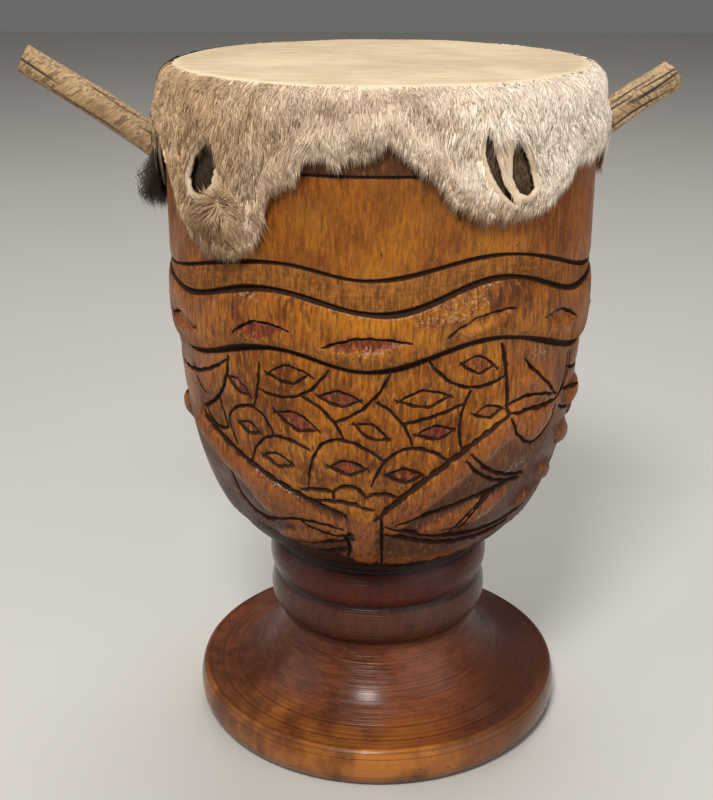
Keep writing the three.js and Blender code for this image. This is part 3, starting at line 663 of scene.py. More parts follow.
def carved_wood():
    """Varnished hardwood: honey on the bowl's front, redder and darker on the leaf panels, flanks, rings
    and foot, with upright grain and short tool marks, stain nearly black in the cuts, red dye in some
    marks, a dull scraped finish on the straps, and pale flecks painted as gleams where it is polished.
    Painted shade darkens the bowl low down where it turns under, the cut-back ground of the leaf panels,
    the lower right and the joint between the rings. The second number of the zones is the undercut's
    painted shadow low on the bowl and the polish with its painted gleams higher up."""
    material, nodes, shader, where = new_material("carved_wood")
    near, tint, dull = nodes.channels("marks")
    leaf, shadow_and_gleam_share, proud = nodes.channels("zones")
    x, y, z = nodes.axes(where)
    waist, ring_joint, neck_top = waist_height * MM, (upper_ring[0] - 0.7) * MM, (bowl_bottom + 1) * MM
    collar, top_line, worn_low = collar_height * MM, (top_line_height - 0.7) * MM, worn_from * MM
    reach = (x * x + y * y) ** 0.5
    broad = nodes.noise(where, 13, 3)
    patch = nodes.noise(where, 34, 4, 0.6)
    grain = nodes.noise(nodes.stretched(where, (1, 1, 0.14)), 520, 4, 0.65)
    streak = nodes.noise(nodes.stretched(where, (1, 1, 0.22)), 70, 4, 0.6)
    hatch = nodes.noise(nodes.stretched(where, (1, 1, 0.3)), 1100, 2, 0.5)
    ripple = nodes.noise(nodes.stretched(where, (0.5, 0.5, 1.4)), 420, 2, 0.5)
    dark_stroke = nodes.noise(nodes.stretched(where, (1, 1, 0.2)), 470, 2, 0.55).step(0.54, 0.64)
    smooth = (z - collar).step(0.0, 0.014)
    mixed = grain * 0.35 + streak * 0.25 + patch * 0.4
    honey = (mixed * (1.0 - smooth * 0.35) + smooth * 0.18).step(0.37, 0.63)
    honey = honey.mix((0.095, 0.023, 0.003), (0.400, 0.128, 0.008))
    amber = (patch * 0.6 + broad * 0.4).step(0.5, 0.62) * (1.0 - leaf)
    honey = (amber * 0.42).mix(honey, (0.44, 0.175, 0.012))
    olive = nodes.noise(where, 19, 2).step(0.52, 0.66) * (0.24 - z).step(0.0, 0.03)
    honey = (olive * 0.5).mix(honey, grain.step(0.35, 0.65).mix((0.075, 0.030, 0.004), (0.230, 0.105, 0.014)))
    russet = mixed.step(0.36, 0.64).mix((0.105, 0.024, 0.005), (0.400, 0.118, 0.016))
    side = ((x * x) ** 0.5 + (broad - 0.5) * 0.03).step(0.045, 0.098)
    away = nodes.math("MAXIMUM", side * 0.85, y.step(-0.06, 0.05) * 0.8)
    away = nodes.math("MAXIMUM", away, leaf * 0.7)
    bowl = away.mix(honey, russet)
    # Painted shade: the bowl darkens low down, where its side turns under, most on the leaf panels.
    low = (0.196 - z + (broad - 0.5) * 0.03).step(0.0, 0.055) * (leaf * 0.65 + 0.15)
    underside_shade = (patch * 0.5 + grain * 0.5).step(0.35, 0.65)
    underside_shade = underside_shade.mix((0.030, 0.009, 0.005), (0.125, 0.030, 0.010))
    bowl = (low * 0.95).mix(bowl, underside_shade)
    bowl = (leaf * proud.step(0.45, 0.9) * (0.25 + patch * 0.5)).mix(bowl, (0.300, 0.088, 0.014))
    # Painted shade: the cut-back ground of the leaf panels is darker, more so low down.
    bowl = (leaf * (1.0 - proud.step(0.1, 0.5)) * (0.12 + low * 0.55)).mix(bowl, (0.030, 0.010, 0.006))
    # Painted shade: the leaf panels' lower right is darker still.
    low_right_shade = leaf * (x + (broad - 0.5) * 0.02).step(0.03, 0.075) * low
    bowl = (low_right_shade * 0.7).mix(bowl, (0.060, 0.020, 0.012))
    ring_grain = nodes.noise(nodes.stretched(where, (0.25, 0.25, 1)), 500, 3, 0.6)
    foot_top = (ring_grain * 0.35 + broad * 0.65).step(0.36, 0.66)
    foot_top = foot_top.mix((0.060, 0.014, 0.006), (0.190, 0.055, 0.020))
    foot_top = ((x + (broad - 0.5) * 0.04).step(0.028, 0.075) * 0.8).mix(foot_top, (0.040, 0.011, 0.007))
    rim = (streak * 0.35 + patch * 0.65).step(0.36, 0.62).mix((0.115, 0.032, 0.007), (0.42, 0.145, 0.026))
    rim = ((x + (broad - 0.5) * 0.05).step(0.02, 0.075) * 0.85).mix(rim, (0.075, 0.022, 0.009))
    knocks = (nodes.noise(where, 120, 4, 0.65) * 0.5 + ripple * 0.5).step(0.60, 0.66)
    rim = (knocks * 0.7).mix(rim, (0.050, 0.015, 0.006))
    rim = ((0.006 - z + (patch - 0.5) * 0.008).step(0.0, 0.006) * 0.8).mix(rim, (0.055, 0.017, 0.007))
    lip = (reach - 0.0915 + (broad - 0.5) * 0.008).step(-0.001, 0.0015) * (0.0 - y).step(0.0, 0.05)
    is_rim = nodes.math("MAXIMUM", lip, (0.017 - z).step(0.0, 0.003))
    honey_edge = (reach + broad * 0.03).step(0.078, 0.100) * (0.0 - y).step(0.0, 0.07)
    honey_edge = honey_edge * (0.035 - x).step(-0.03, 0.06)
    lathe = nodes.noise(nodes.node("ShaderNodeCombineXYZ", {}, {"X": reach, "Y": z}), 560, 3, 0.7)
    foot = nodes.math("MAXIMUM", is_rim, honey_edge * 0.7).mix(foot_top, rim)
    rings = (z - ring_joint).step(-0.0003, 0.0027).mix((0.085, 0.026, 0.014), (0.085, 0.014, 0.007))
    rings = (grain * 0.6 + patch * 0.3).step(0.3, 0.7).mix(rings, (0.022, 0.007, 0.004))
    # Painted shade: a dark line in the joint between the two rings.
    joint_shade = (0.0015 - nodes.math("ABSOLUTE", z - ring_joint)).step(-0.001, 0.0008)
    rings = (joint_shade * 0.85).mix(rings, (0.012, 0.004, 0.003))
    colour = (z - waist).step(0.0, 0.006).mix(foot, rings)
    lathe_dark = lathe.step(0.5, 0.62) * (neck_top - z).step(0.0005, 0.0025)
    colour = (lathe_dark * 0.5).mix(colour, (0.040, 0.012, 0.007))
    colour = (z - neck_top).step(0.0, 0.010).mix(colour, bowl)
    colour = ((z - top_line).step(0.0, 0.001) * 0.72).mix(colour, (0.060, 0.024, 0.012))
    # Darker in patches high on the bowl, from just under the hide's hem up.
    upper_dark_patches = (z + (broad - 0.5) * 0.03 - 0.272).step(0.0, 0.032) * patch.step(0.42, 0.62)
    colour = (upper_dark_patches * 0.5).mix(colour, (0.060, 0.020, 0.008))
    pits = nodes.noise(nodes.stretched(where, (1, 1, 0.6)), 150, 2, 0.5).step(0.69, 0.72) * smooth
    colour = (pits * 0.8).mix(colour, (0.030, 0.010, 0.005))
    scraped = (grain * 0.4 + hatch * 0.3 + ripple * 0.3).step(0.38, 0.62)
    scraped = scraped.mix((0.105, 0.034, 0.005), (0.320, 0.120, 0.022))
    colour = (dull * 0.78).mix(colour, scraped)
    red = (tint * (0.35 + patch * 0.5 + grain * 0.4)).step(0.14, 0.8)
    dye = (hatch * 0.5 + grain * 0.5).step(0.4, 0.6).mix((0.070, 0.009, 0.006), (0.235, 0.042, 0.024))
    colour = (red * 0.85).mix(colour, dye)
    on_bowl = (z - neck_top).step(0.0065, 0.0165)
    fleck = nodes.noise(nodes.stretched(where, (1, 1, 0.35)), 560, 3, 0.6).step(0.54, 0.64)
    fleck = fleck * (1.0 - smooth * 0.6) * on_bowl * (1.0 - dull * 0.6) * (1.0 - leaf * 0.5)
    colour = (fleck * 0.42).mix(colour, (0.470, 0.215, 0.035))
    strokes = dark_stroke * on_bowl * (1.0 - dull * 0.5) * (1.0 - smooth * 0.75)
    colour = (strokes * 0.55).mix(colour, (0.035, 0.010, 0.003))
    fine = nodes.noise(nodes.stretched(where, (1, 1, 0.16)), 1000, 2, 0.5).step(0.50, 0.60)
    colour = (fine * on_bowl * 0.34).mix(colour, (0.040, 0.012, 0.004))
    stain = (near + (hatch - 0.5) * 0.4).step(0.10, 0.42)
    colour = (stain * 0.96).mix(colour, (0.016, 0.005, 0.002))
    # Painted shadow: the undercut low on the bowl is nearly black.
    painted_undercut_shadow = shadow_and_gleam_share * (worn_low - z).step(0.0, 0.002)
    polish_and_gleam = shadow_and_gleam_share.step(0.02, 0.6) * (z - worn_low).step(0.0, 0.002) * (1.0 - dull) * (1.0 - stain)
    # Painted highlight: pale flecks on the polished places stand for the varnish's speckled gleams.
    colour = (polish_and_gleam * nodes.noise(where, 620, 2, 0.6).step(0.53, 0.62) * 0.3).mix(colour, (0.62, 0.44, 0.30))
    colour = (painted_undercut_shadow.step(0.05, 0.5) * 0.95).mix(colour, (0.014, 0.005, 0.003))
    gloss = (patch * 0.5 + broad * 0.5).step(0.42, 0.6)
    rough = 0.56 - gloss * 0.2 + dull * 0.2 + stain * 0.4 + (hatch - 0.5) * 0.2 - polish_and_gleam * 0.26
    turned = 1.0 - on_bowl
    rough = rough - turned * 0.26
    shine = (gloss * 0.08 * (1.0 - dull) + leaf * 0.08 + turned * 0.12) * (1.0 - stain) * (1.0 - painted_undercut_shadow)
    bump_height = grain * 0.35 + hatch * 0.35 * on_bowl + streak * 0.3 + ripple * 0.5 * on_bowl
    bump_height = bump_height + lathe * 3.0 * turned
    bump_height = bump_height - strokes * 0.5 + polish_and_gleam * nodes.noise(where, 560, 1, 0.5).step(0.4, 0.66) * 1.5
    attach(nodes, shader, Base_Color=colour, Roughness=rough, Normal=nodes.bump(0.55, 0.0006, bump_height),
           Specular_IOR_Level=0.2, Coat_Weight=shine, Coat_Roughness=0.2)
    return material


# Pegs and empty holes: the axis' angle, height at the bowl's side and tilt, and the radius there.
peg_axes = {
    "left": (-98, 294, 32, 7.8), "right": (100, 304.5, 34, 6.9), "front_left": (-47, 291, 30, 7.4),
    "front_right": (33.5, 297, 30, 7.4), "back_right": (152, 293, 30, 7.4), "back_left": (-153, 293, 30, 7.4),
}


def peg_frame(angle, height, tilt):
    """Where a peg's axis crosses the bowl's side, and the axis' direction and two directions across it."""
    turn, up = math.radians(angle), math.radians(tilt)
    out = np.array([math.sin(turn), -math.cos(turn), 0])
    axis = out * math.cos(up) + np.array([0, 0, math.sin(up)])
    side = np.cross(axis, [0, 0, 1])
    side /= np.linalg.norm(side)
    return out * float(bowl_side(height)) + np.array([0, 0, height]), axis, side, np.cross(side, axis)


def tube(centres, radii, side, over, count):
    """A closed tube with caps: rings of count points round centres, with radii towards side and over."""
    turn = np.linspace(0, 2 * np.pi, count, endpoint=False)
    ring = np.cos(turn)[:, None] * side + np.sin(turn)[:, None] * over
    vertices = (centres[:, None] + ring[None] * np.asarray(radii)[..., None]).reshape(-1, 3)
    rows = np.arange(len(centres) * count).reshape(-1, count)
    faces = [ring_faces(rows), fan_faces(rows[0], rows.size)[:, ::-1], fan_faces(rows[-1], rows.size + 1)]
    return np.concatenate([vertices, centres[[0, -1]]]), np.concatenate(faces)


def peg_hole(name, clearance=0.4):
    """A closed cutter along one peg's axis, from inside the chamber to outside the hide."""
    angle, height, tilt, radius = peg_axes[name]
    origin, axis, side, over = peg_frame(angle, height, tilt)
    centres = origin + np.linspace(-40, 40, 3)[:, None] * axis
    count = 28
    vertices, faces = tube(centres, np.full((3, count), radius + clearance), side, over, count)
    return mesh_object("hole_" + name, vertices * MM, faces)


shell = mesh_object("shell_carved", *shell_mesh())
shell.data.materials.append(carved_wood())
cut_away(shell, [peg_hole(name) for name in peg_axes])
shell_points = point_array(shell)
shell_heights = shell_points[:, 2]
shell_angles = np.degrees(np.arctan2(shell_points[:, 0], -shell_points[:, 1]))
shell_reach = np.hypot(shell_points[:, 0], shell_points[:, 1])
unleaned = 2 * shell_points - leaned(shell_points)
flat_places = unrolled(np.column_stack([shell_angles, unleaned[:, 2]]))
outer = (shell_heights > band_low) & (shell_heights < band_high)
outer &= shell_reach > bowl_side(shell_heights) - 6
shell_marks = np.zeros((len(shell_points), 3))
carved = carving(flat_places[outer], all_cuts())
shell_marks[outer] = np.column_stack(carved[1:4])
set_marks(shell, "marks", shell_marks)

# Zones: the share on the leaf panels, the undercut's painted shadow low down and the polish with its painted
# gleams higher up, and how proud a place is.
shell_zones = np.zeros((len(shell_points), 3))
shell_zones[outer, 0] = carved[4]
low_down = (shell_heights > 96) & (shell_heights < 130) & (shell_reach > 50)
low_heights = shell_heights[low_down]
under_share = undercut(shell_angles[low_down], np.maximum(low_heights - 1.2, 104)) / undercut_depth
shell_zones[low_down, 1] = between(low_heights, 96.5, 98.5) * under_share
shell_zones[outer, 2] = between(carved[0] + panel_depth + 0.1, 0, 1.9)
# Polished places, where the varnish's gleams are painted as pale flecks.
polish_and_gleam = np.zeros(outer.sum())
for turn in repeats:
    for angle, height, length, width, rise in polish_and_gleam_places:
        polish_and_gleam = np.maximum(polish_and_gleam, oval_share(flat_places[outer], angle + turn, height, length, width, rise))
shell_zones[outer, 1] = np.maximum(shell_zones[outer, 1], polish_and_gleam)
set_marks(shell, "zones", shell_zones)
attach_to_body(shell, "root")
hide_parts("shell")

# Hide: one goat skin stretched over the rim, shaved on the head and with its coat left on the skirt. It
# hangs in lobes round the pegs' slots, its hem rolls outward between them, and pale bare lips stand round
# the slots.
hide_thickness = 1.5
hide_radius = 105.0
hide_profile = np.array([
    (0, 342.4), (30, 342.4), (60, 342.5), (80, 342.6), (92, 342.7), (96, 342.6), (98.8, 341.9),
    (101.2, 340.3), (103.2, 337.6), (104.4, 334.1), (104.9, 329.7), (105.1, 322), (105.2, 312),
    (105.2, 260), (105, 230),
])
along_profile = np.concatenate([[0], np.cumsum(np.linalg.norm(np.diff(hide_profile, axis=0), axis=1))])
shaved_to = 98.6

# Lobes of the hem: angle, drop, half width. Then the front's measured edge, and the slots' outlines.
lobes = [(-100, 34, 19), (-43, 45, 18.5), (33, 28, 18.5), (100, 25, 17), (152, 28, 17), (-153, 30, 18)]
front_edge = np.array([
    (-66, 309), (-62, 299), (-58, 286), (-52, 279), (-45, 274), (-37, 275.5), (-31, 279), (-28.3, 287),
    (-27, 298), (-23.5, 306), (-19.6, 311), (-16.5, 316.5), (-13, 318.5), (-9.6, 315), (-6.4, 319.5),
    (-1.9, 321), (1.9, 324), (4.5, 321.4), (8.4, 316), (12.6, 311.5), (15.4, 305), (18, 298.6),
    (22.6, 294.5), (31, 291.3), (38, 290.6), (42.4, 296.3), (50, 301.7), (55, 309.5), (58.7, 311.3),
    (63.5, 308), (68, 311),
])
slot_outlines = [
    [(-43.8, 320), (-41.6, 316), (-41, 309), (-42.9, 300), (-46.4, 293.6), (-50.2, 294.6), (-51.2, 301),
     (-48.8, 310)],
    [(24.2, 326), (26, 322), (27.2, 314), (29, 304), (32, 294.6), (28.6, 300), (25.8, 308), (24, 317)],
    [(31.6, 322.9), (34, 318.5), (36.4, 309.5), (37.6, 301), (35.4, 298), (32.8, 300), (31.2, 307),
     (31, 315)],
    [(150.6, 317), (154.4, 309), (154.6, 299), (152.6, 291), (149.6, 299), (149.2, 309)],
    [(-151.6, 317), (-149.6, 308), (-150.6, 298), (-153.4, 291), (-155.8, 299), (-155, 309)],
]
slot_cut_radii = (98, 122)


def soft_noise(a, b, size, seed):
    """A smooth field of two coordinates from -1 to 1, made of waves of about the given size."""
    waves_rng = np.random.default_rng(seed)
    total = 0
    for _ in range(7):
        turn, phase = waves_rng.uniform(0, 2 * np.pi, 2)
        pitch = 2 * np.pi / (size * waves_rng.uniform(0.7, 1.6))
        total = total + np.sin(pitch * (a * math.cos(turn) + b * math.sin(turn)) + phase)
    return total / 3.5


def hide_edge(angle):
    """The height of the skin's lower edge: lobes round the pegs, and the measured edge on the front."""
    at = (np.asarray(angle, float) + 180) % 360 - 180
    edge = 316 + 2 * np.sin(np.radians(9 * at))
    for centre, drop, width in lobes:
        off = (at - centre + 180) % 360 - 180
        edge = edge - drop * np.exp(-(off / width) ** 4)
    front = np.interp(at, front_edge[:, 0], front_edge[:, 1])
    share = between(at, -70, -66) * between(-at, -72, -68)
    edge = edge * (1 - share) + front * share
    return edge + 0.9 * np.sin(np.radians(at * 23)) + 0.6 * np.sin(np.radians(at * 41))


def skirt_length(angle):
    """The length along the hide's profile down to its lower edge."""
    falling = slice(None, 7, -1)
    return np.interp(hide_edge(angle), hide_profile[falling, 1], along_profile[falling])


def slot_distance(s, z):
    """The distance to the nearest slot's outline in the unrolled side, and whether a place is in a slot."""
    nearest = np.full(s.shape, 1e3)
    inside = np.zeros(s.shape, bool)
    for outline in slot_outlines:
        ring = np.array(outline + outline[:1], float)
        ring = np.column_stack([np.radians(ring[:, 0]) * hide_radius, ring[:, 1]])
        crossings = np.zeros(s.shape, int)
        for a, b in zip(ring[:-1], ring[1:]):
            t = np.clip(((s - a[0]) * (b - a)[0] + (z - a[1]) * (b - a)[1]) / ((b - a) ** 2).sum(), 0, 1)
            nearest = np.minimum(nearest, np.hypot(s - a[0] - t * (b - a)[0], z - a[1] - t * (b - a)[1]))
            spans = (a[1] > z) != (b[1] > z)
            if b[1] != a[1]:
                crossings += spans & (s < a[0] + (b[0] - a[0]) * (z - a[1]) / (b[1] - a[1]))
        inside |= crossings % 2 == 1
    return nearest, inside


def hide_place(angle, along, out=0.0):
    """Points on the hide's outer face, a length along its profile, moved outward from it. The hem rolls
    out, soft folds run down the skirt, and a lip stands round each slot."""
    at = (np.asarray(angle, float) + 180) % 360 - 180
    radius = np.interp(along, along_profile, hide_profile[:, 0])
    z = np.interp(along, along_profile, hide_profile[:, 1])
    ahead, fall = (np.interp(along + 1, along_profile, profile) - np.interp(along - 1, along_profile, profile)
                   for profile in hide_profile.T)
    size = np.maximum(np.hypot(ahead, fall), 1e-6)
    normal_r, normal_z = -fall / size, ahead / size
    s = np.radians(at) * hide_radius
    on_skirt = between(along, shaved_to, shaved_to + 14)
    above_edge = skirt_length(at) - along
    front = between(30 - np.abs(at + 4), 0, 10)
    roll = (2.2 + 3.4 * front) * np.exp(-((above_edge - 6) / 5.5) ** 2) * between(above_edge, -6, 3)
    roll -= 1.5 * front * np.exp(-((above_edge - 17) / 4.5) ** 2)
    folds = 0.8 * soft_noise(s, z * 0.3, 26, 3) + 0.45 * soft_noise(s, z * 0.6, 9, 4)
    nearest, _ = slot_distance(s, z)
    lip = 2.6 * np.exp(-((nearest - 1.4) / 1.7) ** 2)
    settle = 0.35 * soft_noise(radius * np.sin(np.radians(at)), radius * np.cos(np.radians(at)), 60, 5)
    lift = on_skirt * (roll + np.maximum(folds, -0.35) + lip + 0.3) + settle * (1 - on_skirt) * 0.6 + out
    turn = np.radians(at)
    radius = radius + lift * normal_r
    return leaned(np.stack([radius * np.sin(turn), -radius * np.cos(turn), z + lift * normal_z], -1))


def hide_mesh():
    """The hide as a closed skin: an outer face from the middle of the head to the hem, and an inner face a
    thickness below it, joined round the hem."""
    around = np.linspace(-180, 180, 481)[:-1]
    head = np.array([25, 50, 70, 84, 91, 94.5, 96.8, shaved_to])
    skirt = skirt_length(around)
    rows = [np.full(len(around), v) for v in head]
    rows += [shaved_to + (skirt - shaved_to) * t for t in np.linspace(0, 1, 44)[1:]]
    outer = [hide_place(around, row) for row in rows]
    inner = [hide_place(around, row, -hide_thickness) for row in rows]
    hem = hide_place(around, rows[-1] + 0.6, -hide_thickness / 2)
    grid = np.array(outer + [hem] + inner[::-1])
    indices = np.arange(grid.shape[0] * grid.shape[1]).reshape(grid.shape[:2])
    faces = [ring_faces(indices)[:, ::-1], fan_faces(indices[0], indices.size),
             fan_faces(indices[-1], indices.size + 1)[:, ::-1]]
    poles = [(0, 0, grid[0, 0, 2]), (0, 0, grid[-1, 0, 2])]
    return np.concatenate([grid.reshape(-1, 3), poles]) * MM, np.concatenate(faces)


def slot_cutter(outline):
    """A closed prism through the skirt with a slot's outline."""
    ring = np.array(outline, float)
    turn = np.radians(ring[:, 0])
    vertices = [np.column_stack([r * np.sin(turn), -r * np.cos(turn), ring[:, 1]]) for r in slot_cut_radii]
    rows = np.arange(2 * len(ring)).reshape(2, -1)
    faces = np.concatenate([fan_faces(rows[0], rows.size)[:, ::-1], fan_faces(rows[1], rows.size + 1),
                            ring_faces(rows)])
    middle = [v.mean(0)[None] for v in vertices]
    following = np.roll(ring, -1, 0)
    area = (ring[:, 0] * following[:, 1] - following[:, 0] * ring[:, 1]).sum()
    return mesh_object("slot", np.concatenate(vertices + middle) * MM, faces if area > 0 else faces[:, ::-1])


def hide_skin():
    """Goat skin: cream where it is shaved, with faint grain lines across, and brownish under the coat."""
    material, nodes, shader, where = new_material("goat_hide")
    x, y, _ = nodes.axes(where)
    lines = nodes.noise(nodes.stretched(where, (0.12, 1, 0.3)), 420, 3, 0.6)
    cloud = nodes.noise(where, 22, 4, 0.6)
    pore = nodes.noise(where, 1400, 2, 0.6)
    head = (lines * 0.5 + cloud * 0.5).step(0.38, 0.64).mix((0.43, 0.325, 0.19), (0.60, 0.485, 0.32))
    head = (cloud.step(0.6, 0.72) * 0.3).mix(head, (0.56, 0.40, 0.22))
    reach = (x * x + y * y) ** 0.5
    head = (reach.step(0.092, 0.099) * 0.4).mix(head, (0.80, 0.68, 0.45))
    coat = (lines * 0.4 + cloud * 0.6).step(0.35, 0.65).mix((0.50, 0.36, 0.23), (0.74, 0.60, 0.44))
    colour = reach.step(0.0985, 0.1005).mix(head, coat)
    dark = (0.0 - x).step(0.098, 0.105) * (y + 0.02).step(0.0, 0.03)
    colour = dark.mix(colour, (0.035, 0.02, 0.012))
    attach(nodes, shader, Base_Color=colour, Roughness=0.52 + pore * 0.2,
           Normal=nodes.bump(0.3, 0.0004, lines * 0.6 + pore * 0.3 + cloud * 0.5))
    return material


hide = mesh_object("hide", *hide_mesh())
hide.data.materials.append(hide_skin())
hide_clearance = 0.7
hide_cutters = [slot_cutter(outline) for outline in slot_outlines]
cut_away(hide, hide_cutters + [peg_hole(name, hide_clearance) for name in ("left", "right")])
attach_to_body(hide, "root")
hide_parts("drumhead")

# Coat: the hair left on the skirt, as closed tapering strands that lie down the skin, turn round the slots,
# spring out of a whorl under the front left slot and hang past the hem. It is tan at the left, cream at the
# right and nearly black round the back left.
coat_pieces = 4
strands_per_piece = 17500
strand_points = 7
strand_sides = np.array([
    (0, 3, 4), (0, 4, 1), (1, 4, 5), (1, 5, 2), (2, 5, 3), (2, 3, 0), (3, 6, 4), (4, 6, 5), (5, 6, 3),
    (0, 1, 2),
])

# Whorls: angle, height, reach and strength. Longer hair: angle, height, half width and half height. Bare
# strip between the slots at the right: angle, half width, and the heights that it runs between.
whorls = [(-41.5, 289, 11, 1.6), (-46, 306, 9, 0.9), (33.5, 308, 10, 0.8), (-14, 322, 8, 0.5)]
long_hair = (-41.5, 287, 13, 11)
bare_strip = (29.3, 2.2, 297, 323)
peg_bare_radius = 8.4


def coat_flow(s, z):
    """The direction of the hair in the unrolled side: down, turned by whorls and by smooth waves."""
    sideways = 0.32 * soft_noise(s, z, 30, 21) + 0.22 * soft_noise(s, z, 9, 22)
    flow = np.stack([sideways, np.full(s.shape, -1.0)], -1)
    for angle, height, reach, strength in whorls:
        off = np.stack([s - math.radians(angle) * hide_radius, z - height], -1)
        far = np.linalg.norm(off, axis=-1) + 0.5
        push = strength * between(far, 0.5, 4.5) * np.exp(-((far - 3) / reach) ** 2)
        flow += off / far[:, None] * push[:, None]
    return flow / np.linalg.norm(flow, axis=-1)[:, None]


tuft_size = (2.4, 5.5)
tufts = np.random.default_rng(11).normal(0, 1, (512, 64, 3))


def tuft_marks(s, z):
    """The middle and three random numbers of the tuft that holds a place; every other column of tufts is
    set half a tuft lower."""
    column = np.floor(s / tuft_size[0]).astype(int)
    row = np.floor(z / tuft_size[1] + 0.5 * (column % 2)).astype(int)
    middle = np.stack([(column + 0.5) * tuft_size[0], (row + 0.5 - 0.5 * (column % 2)) * tuft_size[1]], -1)
    return middle, tufts[column % 512, row % 64]


def strand_mesh(middles, width, thickness, marks):
    """Closed tapering strands from their roots, middles and tips: a ring of three points across the strand
    at the root, one of 0.8 times its width at the middle, and a point at the tip, with the strand's marks
    at each point."""
    rings = []
    for k, share in ((0, 1.0), (1, 0.8)):
        out = middles[k] * (1, 1, 0)
        out /= np.linalg.norm(out, axis=1)[:, None]
        across = np.cross(middles[k + 1] - middles[k], out)
        across /= np.linalg.norm(across, axis=1)[:, None]
        half = (width * share)[:, None]
        rings.append(np.stack([middles[k] + across * half, middles[k] + out * half * thickness,
                               middles[k] - across * half], 1))
    vertices = np.concatenate(rings + [middles[2][:, None]], 1).reshape(-1, 3) * MM
    faces = (np.arange(len(width))[:, None, None] * strand_points + strand_sides[None]).reshape(-1, 3)
    return vertices, faces, np.repeat(np.stack(marks, -1), strand_points, 0)


